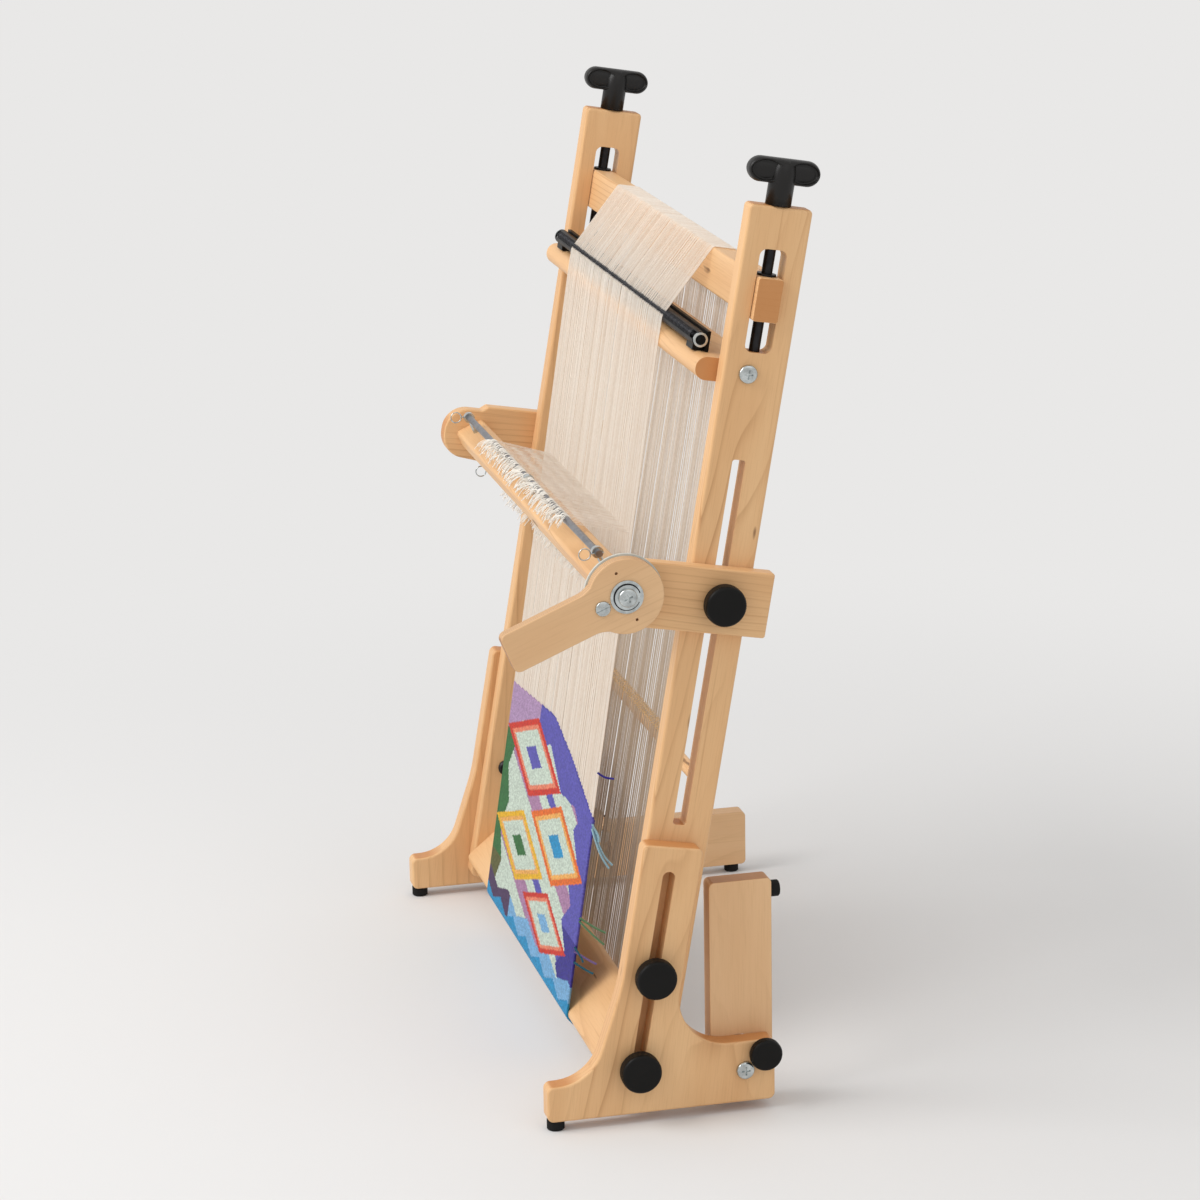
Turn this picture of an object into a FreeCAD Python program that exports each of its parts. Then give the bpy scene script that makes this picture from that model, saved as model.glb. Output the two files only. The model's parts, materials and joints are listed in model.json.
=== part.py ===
import FreeCAD, Part
import math
import os

# Upright tapestry loom on a pair of foot plates, in millimetres and degrees.
# X runs across the loom, Y towards its back, Z up.
# The uprights lean back, so what they carry is laid out square to them first:
# X across, v backwards from the uprights' front faces, u up along the uprights.
# In the code v is drawn along Y and u along Z, and leaning() then tilts the result.

# Stance
lean_angle = 10.0
clear_width = 574.0
sliding_gap = 0.2
running_gap = 0.05
through_gap = 0.4
soft_gap = 0.3

# Uprights
upright_thickness = 19.0
upright_depth = 57.0
upright_foot = 24.0
upright_length = 809.0
upright_edge = 3.0
upright_corner = 4.0
upright_toe = 9.0

# Window at the top of each upright, for the top beam
window_depth = 24.4
window_length = 90.0
window_margin = 37.0
window_middle = 28.0
window_corner = 6.5

# Slot in each upright, for the arm bolts
slot_middle = 27.5
arm_slot_width = 12.0
arm_slot_bottom = 280.0
arm_slot_length = 331.5
arm_slot_corner = 2.5

# Foot plates, upright on the floor, each with a leaning post
plate_thickness = 19.0
plate_front = -53.0
plate_length = 210.0
plate_bottom = 9.0
plate_toe_height = 34.0
plate_heel_height = 58.5
plate_corner = 6.0
plate_edge = 2.5
toe_run = 40.0
toe_sweep = 42.0
flare_height = 130.0
flare_sweep = 180.0
heel_sweep = 45.0
post_front = -7.0
post_depth = 55.0
post_top = 265.0
post_slot_width = 11.5
post_slot_bottom = 50.0
post_slot_top = 242.0
rubber_foot_radius = 8.0
rubber_foot_inset = 9.0

# Clamp bolts and knobs that hold the uprights to the posts
bolt_radius = 3.175
clamp_setback = 20.0
upper_clamp_height = 146.0
lower_clamp_height = 58.0
bolt_head_radius = 8.0
bolt_head_height = 4.0
knob_radius = 18.0
knob_depth = 18.0
deep_knob_depth = 18.6
knob_edge = 2.8
knob_socket = 9.0
deep_knob_socket = 13.5
insert_radius = 4.7
insert_length = 22.0

# Fold-out legs inside the foot plates
leg_thickness = 19.0
leg_pivot_y = 129.0
leg_pivot_z = 40.0
leg_reach = 173.0
leg_heel = 28.0
leg_above = 27.0
leg_below = 31.0
leg_corner = 5.0
leg_heel_corner = 24.0
leg_edge = 1.0
leg_foot_reach = 159.5
leg_foot_radius = 7.5
leg_fold = 90.0
lock_radius = 23.6
lock_angle = 43.4
lock_slot_gap = 0.3
lock_knob_radius = 14.5
lock_knob_depth = 13.0
nut_radius = 7.0
nut_length = 5.0

# Round-headed screws
screw_head_radius = 8.3
screw_head_height = 3.6
screw_cross = 8.0
screw_cross_width = 1.6
screw_cross_depth = 2.2

# Plank between the uprights' feet, that the warp goes round
plank_front_v = -7.5
plank_front_u = 46.0
plank_slope = 39.3
plank_width = 63.5
plank_thickness = 19.0
plank_front_edge = 6.0

# Round stretcher behind the warp
stretcher_radius = 6.0
stretcher_v = 50.5
stretcher_u = 311.6

# Front bar, rounded at its nose
front_bar_thickness = 20.5
front_bar_nose = -19.0
front_bar_depth = 56.0
front_bar_u = 684.5
front_bar_back_edge = 3.0
front_screw_v = 22.5
front_screw_u = 687.0
front_screw_length = 34.0

# Channel on the front bar, and the spring in it that spaces the warp
channel_radius = 7.0
channel_length = 528.0
channel_v = -12.0
channel_rise = 10.5
channel_groove_angle = 150.0
channel_wall_front = -6.5
channel_wall_thickness = 3.5
channel_wall_top = 713.0
channel_foot_length = 20.0
channel_foot_outset = 5.0
channel_foot_width = 13.0
coil_curls = 100
coil_radius = 3.0
coil_wire_radius = 0.5
coil_length = 508.0
coil_offset = 3.9
coil_gap = 0.6
end_ring_radius = 6.5
end_ring_hole = 4.6
end_ring_length = 2.0

# Top beam and its tension screws
beam_gap = 0.7
beam_height = 38.0
beam_rest_height = 28.0
beam_overhang = 7.0
beam_edge = 2.5
rod_radius = 4.7625
rod_setback = 27.5
rod_tip_depth = 8.0
rod_socket = 12.0
beam_nut_radius = 7.0
beam_flange_radius = 8.5
beam_flange_height = 2.0
handle_stem_radius = 11.5
handle_stem_height = 20.0
handle_grip_radius = 11.5
handle_length = 68.0
thumb_radius = 26.0
thumb_depth = 2.5
thumb_spacing = 34.0

# Arms that carry the shedding bar
arm_thickness = 16.0
arm_width = 58.5
arm_u = 488.5
arm_rear = 72.0
arm_corner = 2.5
arm_edge = 2.0
arm_head_radius = 24.0
arm_head_reach = 30.0
arm_neck = 12.0
pivot_v = -62.0
pivot_u = 489.0

# Shedding bar, its lever and its rods, drawn level and then tilted about the pivot
shed_tilt = 32.8
shed_bar_width = 30.0
shed_bar_thickness = 19.0
shed_bar_edge = 4.0
pivot_radius = 4.0
pivot_depth = 40.0
lever_disc_radius = 33.5
lever_thickness = 12.0
lever_length = 114.0
lever_width = 37.0
lever_neck = 22.0
lever_corner = 6.0
lever_edge = 1.0
nylon_disc_radius = 35.0
nylon_disc_thickness = 2.2
washer_radius = 14.7
washer_thickness = 1.6
lock_ring_radius = 11.0
lock_ring_height = 1.4
lever_screw_radius = 6.8
lever_screw_height = 2.6
lever_screw_shank = 2.4
lever_screw_reach = 23.0
lever_slot_width = 1.4
lever_slot_depth = 1.2
pin_hole_radius = 1.3
pin_hole_depth = 4.0
heddle_rod_radius = 3.175
heddle_rod_rise = 26.5
heddle_rod_length = 562.0
bracket_post_radius = 2.4
bracket_eye_length = 6.0
bracket_eye_wall = 2.0
bracket_inset = 8.0
clip_radius = 5.2
clip_wire_radius = 0.6
clip_inset = 3.0
clip_forwards = 11.5
clip_outwards = 4.5
clip_tail = 5.0

# Warp, cloth and heddles
warp_left = -188.0
warp_width = 350.0
warp_spacing = 6.25
thread = 0.9
cloth_left = -187.0
cloth_width = 354.0
cloth_thickness = 2.4
cloth_bottom = 34.0
cloth_left_height = 231.0
cloth_peak_height = 247.0
cloth_peak_x = -15.0
cloth_step_height = 229.0
cloth_step_x = 70.0
cloth_right_height = 201.0
heddle_spacing = 12.5
hull_step = 10

origin = FreeCAD.Vector(0, 0, 0)
across = FreeCAD.Vector(1, 0, 0)
backward = FreeCAD.Vector(0, 1, 0)
upward = FreeCAD.Vector(0, 0, 1)

inner_face = clear_width / 2
outer_face = inner_face + upright_thickness
plate_face = outer_face + sliding_gap
arm_face = plate_face
upright_top = upright_foot + upright_length
window_top = upright_top - window_margin
window_bottom = window_top - window_length
beam_bottom = window_bottom + beam_rest_height
rod_bottom = window_bottom - rod_tip_depth
rod_x = inner_face + upright_thickness / 2
beam_depth = window_depth - 2 * beam_gap
beam_front = window_middle - beam_depth / 2
beam_back = beam_front + beam_depth
beam_top = beam_bottom + beam_height
front_bar_top = front_bar_u + front_bar_thickness / 2
channel_u = front_bar_top + channel_rise
leg_outer = plate_face - sliding_gap
leg_inner = leg_outer - leg_thickness
lever_inner = arm_face + arm_thickness + sliding_gap + nylon_disc_thickness
lever_outer = lever_inner + lever_thickness
plank_angle = math.radians(plank_slope + lean_angle)


def floor_place(v, u):
    """Y and Z of a point that is given square to the uprights."""
    lean = math.radians(lean_angle)
    y = u * math.sin(lean) + v * math.cos(lean)
    z = u * math.cos(lean) - v * math.sin(lean)
    return y, z


def leaning(shape):
    tilted = shape.copy()
    tilted.rotate(origin, across, -lean_angle)
    return tilted


def mirrored(shape):
    return shape.mirror(origin, across)


def block(x, y, z):
    corner = FreeCAD.Vector(x[0], y[0], z[0])
    return Part.makeBox(x[1] - x[0], y[1] - y[0], z[1] - z[0], corner)


def round_bar(x, y, z, radius):
    return Part.makeCylinder(radius, x[1] - x[0], FreeCAD.Vector(x[0], y, z), across)


def round_post(x, y, z, radius):
    return Part.makeCylinder(radius, z[1] - z[0], FreeCAD.Vector(x, y, z[0]), upward)


def outline(corners):
    """A closed wire in the YZ plane through corners (y, z, rounding radius)."""
    points = [FreeCAD.Vector(0, y, z) for y, z, radius in corners]
    stretches = []
    arcs = []
    for index, (y, z, radius) in enumerate(corners):
        here = points[index]
        back = (points[index - 1] - here).normalize()
        ahead = (points[(index + 1) % len(points)] - here).normalize()
        half = back.getAngle(ahead) / 2
        reach = radius / math.tan(half)
        start = here + back * reach
        end = here + ahead * reach
        inward = (back + ahead).normalize()
        middle = here + inward * (radius / math.sin(half) - radius)
        stretches.append((start, end))
        arcs.append(Part.Arc(start, middle, end).toShape() if radius else None)
    edges = []
    for index, arc in enumerate(arcs):
        if arc:
            edges.append(arc)
        leave = stretches[index][1]
        arrive = stretches[(index + 1) % len(stretches)][0]
        edges.append(Part.LineSegment(leave, arrive).toShape())
    return Part.Wire(edges)


def panel(corners, x, edge=0.0):
    """A flat board with this outline, and its two rims rounded."""
    face = Part.Face(outline(corners))
    face.translate(FreeCAD.Vector(x[0], 0, 0))
    board = face.extrude(FreeCAD.Vector(x[1] - x[0], 0, 0))
    if edge:
        rims = [rim for rim in board.Edges if rim.BoundBox.XLength < edge / 10]
        board = board.makeFillet(edge, rims)
    return board


def rectangle(y, z, radius):
    return [(y[0], z[0], radius), (y[1], z[0], radius), (y[1], z[1], radius), (y[0], z[1], radius)]


def turned(profile, x, y, z):
    """A solid turned about an X axis through (y, z); profile holds (x, radius) from x outwards."""
    points = [FreeCAD.Vector(x + along, y, z + radius) for along, radius in profile]
    points.append(FreeCAD.Vector(x + profile[-1][0], y, z))
    points.append(FreeCAD.Vector(x + profile[0][0], y, z))
    face = Part.Face(Part.makePolygon(points + points[:1]))
    return face.revolve(FreeCAD.Vector(x, y, z), across, 360)


def rim_at(shape, x):
    """The outermost round edge of a turned solid, in the plane of this x."""
    rims = [edge for edge in shape.Edges if abs(edge.BoundBox.XMin - x) + abs(edge.BoundBox.XMax - x) < 0.01]
    return [max(rims, key=lambda edge: edge.Length)]


def knob(radius, depth, x, y, z):
    neck = radius * 0.6
    waist = depth * 0.25
    body = turned([(0, neck), (waist, neck), (waist + neck * 0.15, radius), (depth, radius)], x, y, z)
    return body.makeFillet(knob_edge, rim_at(body, x + depth))


def cross_screw(shank_radius, reach, x, y, z):
    """A round-headed screw whose head rests at x and whose shank runs inwards."""
    head = turned([(0, screw_head_radius), (screw_head_height, screw_head_radius)], x, y, z)
    head = head.makeFillet(screw_head_height * 0.6, rim_at(head, x + screw_head_height))
    depth = (x + screw_head_height - screw_cross_depth, x + screw_head_height)
    long_way = (-screw_cross / 2, screw_cross / 2)
    short_way = (-screw_cross_width / 2, screw_cross_width / 2)
    for wide, tall in ((long_way, short_way), (short_way, long_way)):
        bar = block(depth, (y + wide[0], y + wide[1]), (z + tall[0], z + tall[1]))
        head = head.cut(bar)
    return head.fuse(round_bar((x - reach, x), y, z, shank_radius))


def upright():
    sides = (0, upright_depth)
    ends = (upright_foot, upright_top)
    corners = rectangle(sides, ends, upright_corner)
    corners[0] = (sides[0], ends[0], upright_toe)
    board = panel(corners, (inner_face, outer_face), upright_edge)
    through = (inner_face - 1, outer_face + 1)
    window_sides = (window_middle - window_depth / 2, window_middle + window_depth / 2)
    board = board.cut(panel(rectangle(window_sides, (window_bottom, window_top), window_corner), through))
    slot_sides = (slot_middle - arm_slot_width / 2, slot_middle + arm_slot_width / 2)
    slot_ends = (arm_slot_bottom, arm_slot_bottom + arm_slot_length)
    board = board.cut(panel(rectangle(slot_sides, slot_ends, arm_slot_corner), through))
    for height in (upper_clamp_height, lower_clamp_height):
        board = board.cut(round_bar(through, clamp_setback, height, bolt_radius + through_gap))
    board = board.cut(round_bar(through, front_screw_v, front_screw_u, bolt_radius))
    rod_hole = round_post(rod_x, rod_setback, (rod_bottom - 1, upright_top + 1), rod_radius + through_gap)
    return board.cut(rod_hole)


def plank_place(along, depth):
    """A place on the plank's section: along its top from the front edge, and down from the top."""
    v = plank_front_v + along * math.cos(plank_angle) + depth * math.sin(plank_angle)
    u = plank_front_u + along * math.sin(plank_angle) - depth * math.cos(plank_angle)
    return v, u


def plank():
    rear_edge = plank_thickness * 0.49
    corners = [
        plank_place(0, 0) + (plank_front_edge,),
        plank_place(plank_width, 0) + (rear_edge,),
        plank_place(plank_width, plank_thickness) + (rear_edge,),
        plank_place(0, plank_thickness) + (plank_front_edge,),
    ]
    board = panel(corners, (-inner_face, inner_face))
    for insert in plank_inserts():
        board = board.cut(round_bar(x_span(insert), clamp_setback, lower_clamp_height, insert_radius))
    return board


def x_span(shape):
    bounds = shape.BoundBox
    return bounds.XMin, bounds.XMax


def plank_inserts():
    span = (inner_face - insert_length, inner_face)
    sleeve = round_bar(span, clamp_setback, lower_clamp_height, insert_radius)
    sleeve = sleeve.cut(round_bar(span, clamp_setback, lower_clamp_height, bolt_radius + running_gap))
    return [sleeve, mirrored(sleeve)]


def front_bar():
    nose = front_bar_thickness * 0.49
    sides = (front_bar_nose, front_bar_nose + front_bar_depth)
    ends = (front_bar_u - front_bar_thickness / 2, front_bar_top)
    corners = rectangle(sides, ends, nose)
    corners[1] = (sides[1], ends[0], front_bar_back_edge)
    corners[2] = (sides[1], ends[1], front_bar_back_edge)
    board = panel(corners, (-inner_face, inner_face))
    for screw in front_screws():
        board = board.cut(screw)
    return board


def front_screws():
    reach = upright_thickness + front_screw_length
    screw = cross_screw(bolt_radius, reach, outer_face, front_screw_v, front_screw_u)
    return [screw, mirrored(screw)]


def channel_groove():
    """Centre of the spring's groove."""
    angle = math.radians(channel_groove_angle)
    return channel_v + coil_offset * math.cos(angle), channel_u + coil_offset * math.sin(angle)


def warp_channel():
    """A grooved round bar for the spring, on a low wall behind it."""
    span = (-channel_length / 2, channel_length / 2)
    bar = round_bar(span, channel_v, channel_u, channel_radius)
    groove_v, groove_u = channel_groove()
    groove_radius = coil_radius + coil_wire_radius + coil_gap
    bar = bar.cut(round_bar(span, groove_v, groove_u, groove_radius))
    wall_sides = (channel_wall_front, channel_wall_front + channel_wall_thickness)
    wall = block(span, wall_sides, (front_bar_top, channel_wall_top))
    return bar.fuse(wall).removeSplitter()


def channel_feet():
    end = channel_length / 2 - channel_foot_outset
    sides = (channel_v - channel_foot_width / 3, channel_v + channel_foot_width * 2 / 3)
    foot = block((end - channel_foot_length, end), sides, (front_bar_top, channel_u))
    foot = foot.cut(round_bar((0, channel_length), channel_v, channel_u, channel_radius)).cut(warp_channel())
    foot = max(foot.Solids, key=lambda solid: solid.Volume)
    return [foot, mirrored(foot)]


def channel_end_rings():
    span = (channel_length / 2, channel_length / 2 + end_ring_length)
    ring = round_bar(span, channel_v, channel_u, end_ring_radius)
    ring = ring.cut(round_bar(span, channel_v, channel_u, end_ring_hole))
    return [ring, mirrored(ring)]


def coil_place(turns):
    groove_v, groove_u = channel_groove()
    angle = 2 * math.pi * turns
    x = -coil_length / 2 + coil_length * turns / coil_curls
    return FreeCAD.Vector(x, groove_v + coil_radius * math.cos(angle), groove_u + coil_radius * math.sin(angle))


def coil_heading(turns):
    angle = 2 * math.pi * turns
    rise = coil_length / coil_curls / (2 * math.pi * coil_radius)
    return FreeCAD.Vector(rise, -math.sin(angle), math.cos(angle)).normalize()


def arc_between(start, corner, end):
    """The arc that leaves start towards corner and reaches end coming from corner."""
    weight = (end - start).Length / 2 / (corner - start).Length
    middle = (start + corner * (2 * weight) + end) / (2 + 2 * weight)
    return Part.Arc(start, middle, end).toShape()


def warp_spring():
    """One unbroken wire: a biarc for each half turn of the spring."""
    edges = []
    for half in range(2 * coil_curls):
        start = coil_place(half / 2)
        end = coil_place(half / 2 + 0.5)
        leave = coil_heading(half / 2)
        arrive = coil_heading(half / 2 + 0.5)
        chord = end - start
        both = leave + arrive
        square = 2 * (1 - leave.dot(arrive))
        across_both = chord.dot(both)
        reach = (math.sqrt(across_both ** 2 + square * chord.dot(chord)) - across_both) / square
        first = start + leave * reach
        second = end - arrive * reach
        joint = (first + second) / 2
        edges.append(arc_between(start, first, joint))
        edges.append(arc_between(joint, second, end))
    path = Part.Wire(edges)
    section = Part.Wire(Part.Circle(coil_place(0), coil_heading(0), coil_wire_radius).toShape())
    return path.makePipeShell([section], True, False)


def report_spring_gap():
    samples = 24
    first_turn = [step / samples for step in range(samples)]
    pairs = [(turns, turns + 0.5 + ahead) for turns in first_turn for ahead in first_turn]
    nearest = min((coil_place(a) - coil_place(b)).Length for a, b in pairs)
    print("spring gap to itself, mm:", round(nearest - 2 * coil_wire_radius, 2))


def top_beam():
    end = outer_face + beam_overhang
    corners = rectangle((beam_front, beam_back), (beam_bottom, beam_top), beam_edge)
    beam = panel(corners, (-end, end), 1.0)
    for side in (-1, 1):
        beam = beam.cut(round_post(side * rod_x, rod_setback, (beam_bottom - 1, beam_top + 1), beam_nut_radius))
    return beam


def beam_nuts():
    nut = round_post(rod_x, rod_setback, (beam_bottom, beam_top), beam_nut_radius)
    flange = round_post(rod_x, rod_setback, (beam_top, beam_top + beam_flange_height), beam_flange_radius)
    nut = nut.fuse(flange)
    bore = round_post(rod_x, rod_setback, (beam_bottom, upright_top), rod_radius + running_gap)
    nut = nut.cut(bore).removeSplitter()
    return [nut, mirrored(nut)]


def tension_rod():
    top = upright_top + sliding_gap + rod_socket
    return round_post(rod_x, rod_setback, (rod_bottom, top), rod_radius)


def tension_handle():
    base = upright_top + sliding_gap
    middle = base + handle_stem_height + handle_grip_radius
    end = FreeCAD.Vector(rod_x, rod_setback - handle_length / 2, middle)
    grip = Part.makeCylinder(handle_grip_radius, handle_length, end, backward)
    rims = [edge for edge in grip.Edges if edge.BoundBox.YLength < 0.01]
    grip = grip.makeFillet(handle_grip_radius * 0.98, rims)
    for face in (-1, 1):
        for side in (-1, 1):
            x = rod_x + face * (handle_grip_radius + thumb_radius - thumb_depth)
            place = FreeCAD.Vector(x, rod_setback + side * thumb_spacing / 2, middle)
            grip = grip.cut(Part.makeSphere(thumb_radius, place))
    handle = grip.fuse(round_post(rod_x, rod_setback, (base, middle), handle_stem_radius))
    return handle.cut(tension_rod())


def foot_plate():
    plate_rear = plate_front + plate_length
    toe_top = plate_bottom + plate_toe_height
    heel_top = plate_bottom + plate_heel_height
    post_back = post_front + post_depth
    heel_u = (heel_top + post_back * math.sin(math.radians(lean_angle))) / math.cos(math.radians(lean_angle))
    corners = [
        (plate_front, plate_bottom, plate_corner),
        (plate_rear, plate_bottom, plate_corner),
        (plate_rear, heel_top, plate_corner),
        floor_place(post_back, heel_u) + (heel_sweep,),
        floor_place(post_back, post_top) + (plate_corner,),
        floor_place(post_front, post_top) + (plate_corner,),
        floor_place(post_front, flare_height) + (flare_sweep,),
        (plate_front + toe_run, toe_top, toe_sweep),
        (plate_front, toe_top, plate_corner),
    ]
    span = (plate_face, plate_face + plate_thickness)
    board = panel(corners, span, plate_edge)
    through = (span[0] - 1, span[1] + 1)
    half = post_slot_width / 2
    sides = (clamp_setback - half, clamp_setback + half)
    slot = panel(rectangle(sides, (post_slot_bottom, post_slot_top), half * 0.98), through)
    board = board.cut(leaning(slot))
    board = board.cut(round_bar(through, leg_pivot_y, leg_pivot_z, bolt_radius + sliding_gap))
    return board.cut(round_bar(through, *lock_place(), bolt_radius + through_gap))


def lock_place():
    angle = math.radians(lock_angle)
    return leg_pivot_y + lock_radius * math.cos(angle), leg_pivot_z + lock_radius * math.sin(angle)


def rubber_foot(x, y, z, radius):
    foot = round_post(x, y, (z, z + plate_bottom), radius)
    return foot.makeChamfer(1.0, [edge for edge in foot.Edges if edge.BoundBox.ZMax < z + 0.01])


def front_foot():
    return rubber_foot(plate_face + plate_thickness / 2, plate_front + rubber_foot_inset, 0, rubber_foot_radius)


def leg():
    """The right leg, extended backwards."""
    back = leg_pivot_y - leg_heel
    end = leg_pivot_y + leg_reach
    low = leg_pivot_z - leg_below
    high = leg_pivot_z + leg_above
    corners = [
        (back, low, leg_heel_corner),
        (end, low, leg_corner),
        (end, high, leg_corner),
        (back, high, leg_heel_corner),
    ]
    span = (leg_inner, leg_outer)
    board = panel(corners, span, leg_edge)
    board = board.cut(round_bar(span, leg_pivot_y, leg_pivot_z, bolt_radius + running_gap))
    reach = bolt_radius + lock_slot_gap
    outer = lock_sector(lock_radius + reach, span)
    slot = outer.cut(lock_sector(lock_radius - reach, span))
    for angle in (lock_angle, lock_angle - leg_fold):
        y = leg_pivot_y + lock_radius * math.cos(math.radians(angle))
        z = leg_pivot_z + lock_radius * math.sin(math.radians(angle))
        slot = slot.fuse(round_bar(span, y, z, reach))
    return board.cut(slot)


def lock_sector(radius, span):
    """A quarter of a disc about the leg's pivot, over the angles that the lock bolt sweeps."""
    base = FreeCAD.Vector(span[0], leg_pivot_y, leg_pivot_z)
    sector = Part.makeCylinder(radius, span[1] - span[0], base, across, leg_fold)
    first = sector.CenterOfMass - base
    wanted = math.radians(lock_angle - leg_fold / 2)
    turn = wanted - math.atan2(first.z, first.y)
    sector.rotate(base, across, math.degrees(turn))
    return sector


def leg_foot():
    return rubber_foot((leg_inner + leg_outer) / 2, leg_pivot_y + leg_foot_reach, 0, leg_foot_radius)


def folded(shape):
    """Swung up about the leg's pivot."""
    swung = shape.copy()
    swung.rotate(FreeCAD.Vector(0, leg_pivot_y, leg_pivot_z), across, leg_fold)
    return swung


def leg_nut(y, z, bore):
    span = (leg_inner - sliding_gap - nut_length, leg_inner - sliding_gap)
    nut = round_bar(span, y, z, nut_radius)
    return nut.cut(round_bar(span, y, z, bore)) if bore else nut


def leg_pivot_bolt():
    head_x = plate_face + plate_thickness
    reach = head_x - leg_inner + sliding_gap
    bolt = cross_screw(bolt_radius, reach, head_x, leg_pivot_y, leg_pivot_z)
    return bolt.fuse(leg_nut(leg_pivot_y, leg_pivot_z, 0))


def lock_knob():
    return knob(lock_knob_radius, lock_knob_depth, plate_face + plate_thickness + sliding_gap, *lock_place())


def lock_stud():
    inner = leg_inner - sliding_gap - nut_length
    return round_bar((inner, plate_face + plate_thickness + knob_socket), *lock_place(), bolt_radius)


def clamp_knob(depth, height):
    return knob(knob_radius, depth, plate_face + plate_thickness + sliding_gap, clamp_setback, height)


def headed_bolt(end, v, u):
    """A bolt with a low round head on the upright's inner face."""
    head = turned([(0, bolt_head_radius * 0.8), (bolt_head_height * 0.5, bolt_head_radius),
                   (bolt_head_height, bolt_head_radius)], inner_face - bolt_head_height, v, u)
    return head.fuse(round_bar((inner_face - 1, end), v, u, bolt_radius))


def upper_clamp_bolt():
    return headed_bolt(plate_face + plate_thickness + knob_socket, clamp_setback, upper_clamp_height)


def lower_clamp_stud():
    span = (inner_face - insert_length + 1, plate_face + plate_thickness + deep_knob_socket)
    return round_bar(span, clamp_setback, lower_clamp_height, bolt_radius)


def knob_on_bolt(body, bolt, gap):
    """A knob with the socket for its bolt."""
    span = x_span(bolt)
    middle = bolt.BoundBox.Center
    return body.cut(round_bar((span[0], span[1] + gap), middle.y, middle.z, bolt_radius + gap))


def arm():
    top = arm_u + arm_width / 2
    low = arm_u - arm_width / 2
    head_top = pivot_u + arm_head_radius
    head_low = pivot_u - arm_head_radius
    tip = pivot_v - arm_head_reach
    corners = [
        (arm_rear, low, arm_corner),
        (arm_rear, top, arm_corner),
        (pivot_v + arm_neck, top, arm_corner * 0.6),
        (pivot_v + arm_neck / 2, head_top, arm_corner * 0.4),
        (tip, head_top, arm_head_radius * 0.98),
        (tip, head_low, arm_head_radius * 0.98),
        (pivot_v + arm_head_radius, low, arm_head_radius),
    ]
    span = (arm_face, arm_face + arm_thickness)
    board = panel(corners, span, arm_edge)
    board = board.cut(round_bar(span, slot_middle, arm_u, bolt_radius))
    return board.cut(round_bar(span, pivot_v, pivot_u, pivot_radius + running_gap))


def arm_bolt():
    head_gap = sliding_gap
    bolt = headed_bolt(arm_face + arm_thickness + knob_socket, slot_middle, arm_u)
    core = round_bar((inner_face - head_gap - 1, inner_face), slot_middle, arm_u, bolt_radius)
    bolt.translate(FreeCAD.Vector(-head_gap, 0, 0))
    return bolt.fuse(core).removeSplitter()


def arm_knob():
    return knob(knob_radius, knob_depth, arm_face + arm_thickness + sliding_gap, slot_middle, arm_u)


def tilted(shape):
    """From level, as the shedding parts are drawn, to their resting tilt about the pivot."""
    turned_shape = shape.copy()
    turned_shape.rotate(FreeCAD.Vector(0, pivot_v, pivot_u), across, shed_tilt)
    return turned_shape


def shed_bar():
    end = arm_face - sliding_gap
    sides = (pivot_v - shed_bar_width / 2, pivot_v + shed_bar_width / 2)
    ends = (pivot_u - shed_bar_thickness / 2, pivot_u + shed_bar_thickness / 2)
    bar = panel(rectangle(sides, ends, shed_bar_edge), (-end, end))
    for bolt in (lever_bolt(), far_pivot_bolt()):
        bar = bar.cut(bolt)
    return bar


def lever():
    tip = pivot_v - lever_length
    half = lever_width / 2
    span = (lever_inner, lever_outer)
    disc = round_bar(span, pivot_v, pivot_u, lever_disc_radius)
    neck = pivot_v - lever_disc_radius
    handle = panel([
        (tip, pivot_u - half, lever_corner),
        (neck, pivot_u - half, lever_neck),
        (pivot_v, pivot_u - lever_disc_radius * 0.98, 0),
        (pivot_v, pivot_u + lever_disc_radius * 0.98, 0),
        (neck, pivot_u + half, lever_neck),
        (tip, pivot_u + half, lever_corner),
    ], span)
    body = disc.fuse(handle).removeSplitter()
    rims = [rim for rim in body.Edges if rim.BoundBox.XLength < lever_edge / 10]
    body = body.makeFillet(lever_edge, rims)
    body = body.cut(round_bar(span, pivot_v, pivot_u, pivot_radius))
    body = body.cut(round_bar(span, pivot_v - lever_screw_reach, pivot_u, lever_screw_shank))
    deep = (lever_outer - pin_hole_depth, lever_outer)
    for side in (-1, 1):
        body = body.cut(round_bar(deep, pivot_v, pivot_u + side * lever_screw_reach, pin_hole_radius))
    return body


def nylon_disc():
    span = (lever_inner - nylon_disc_thickness, lever_inner)
    disc = round_bar(span, pivot_v, pivot_u, nylon_disc_radius)
    disc = disc.cut(round_bar(span, pivot_v, pivot_u, pivot_radius))
    return disc.cut(round_bar(span, pivot_v - lever_screw_reach, pivot_u, lever_screw_shank))


def lever_washer():
    span = (lever_outer, lever_outer + washer_thickness)
    ring_span = (span[1], span[1] + lock_ring_height)
    washer = round_bar(span, pivot_v, pivot_u, washer_radius)
    washer = washer.fuse(round_bar(ring_span, pivot_v, pivot_u, lock_ring_radius))
    return washer.cut(round_bar((span[0], ring_span[1]), pivot_v, pivot_u, pivot_radius))


def lever_bolt():
    head_x = lever_outer + washer_thickness + lock_ring_height
    reach = head_x - arm_face + sliding_gap + pivot_depth
    return cross_screw(pivot_radius, reach, head_x, pivot_v, pivot_u)


def far_pivot_bolt():
    head_x = arm_face + arm_thickness + sliding_gap
    reach = arm_thickness + 2 * sliding_gap + pivot_depth
    return mirrored(cross_screw(pivot_radius, reach, head_x, pivot_v, pivot_u))


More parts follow.
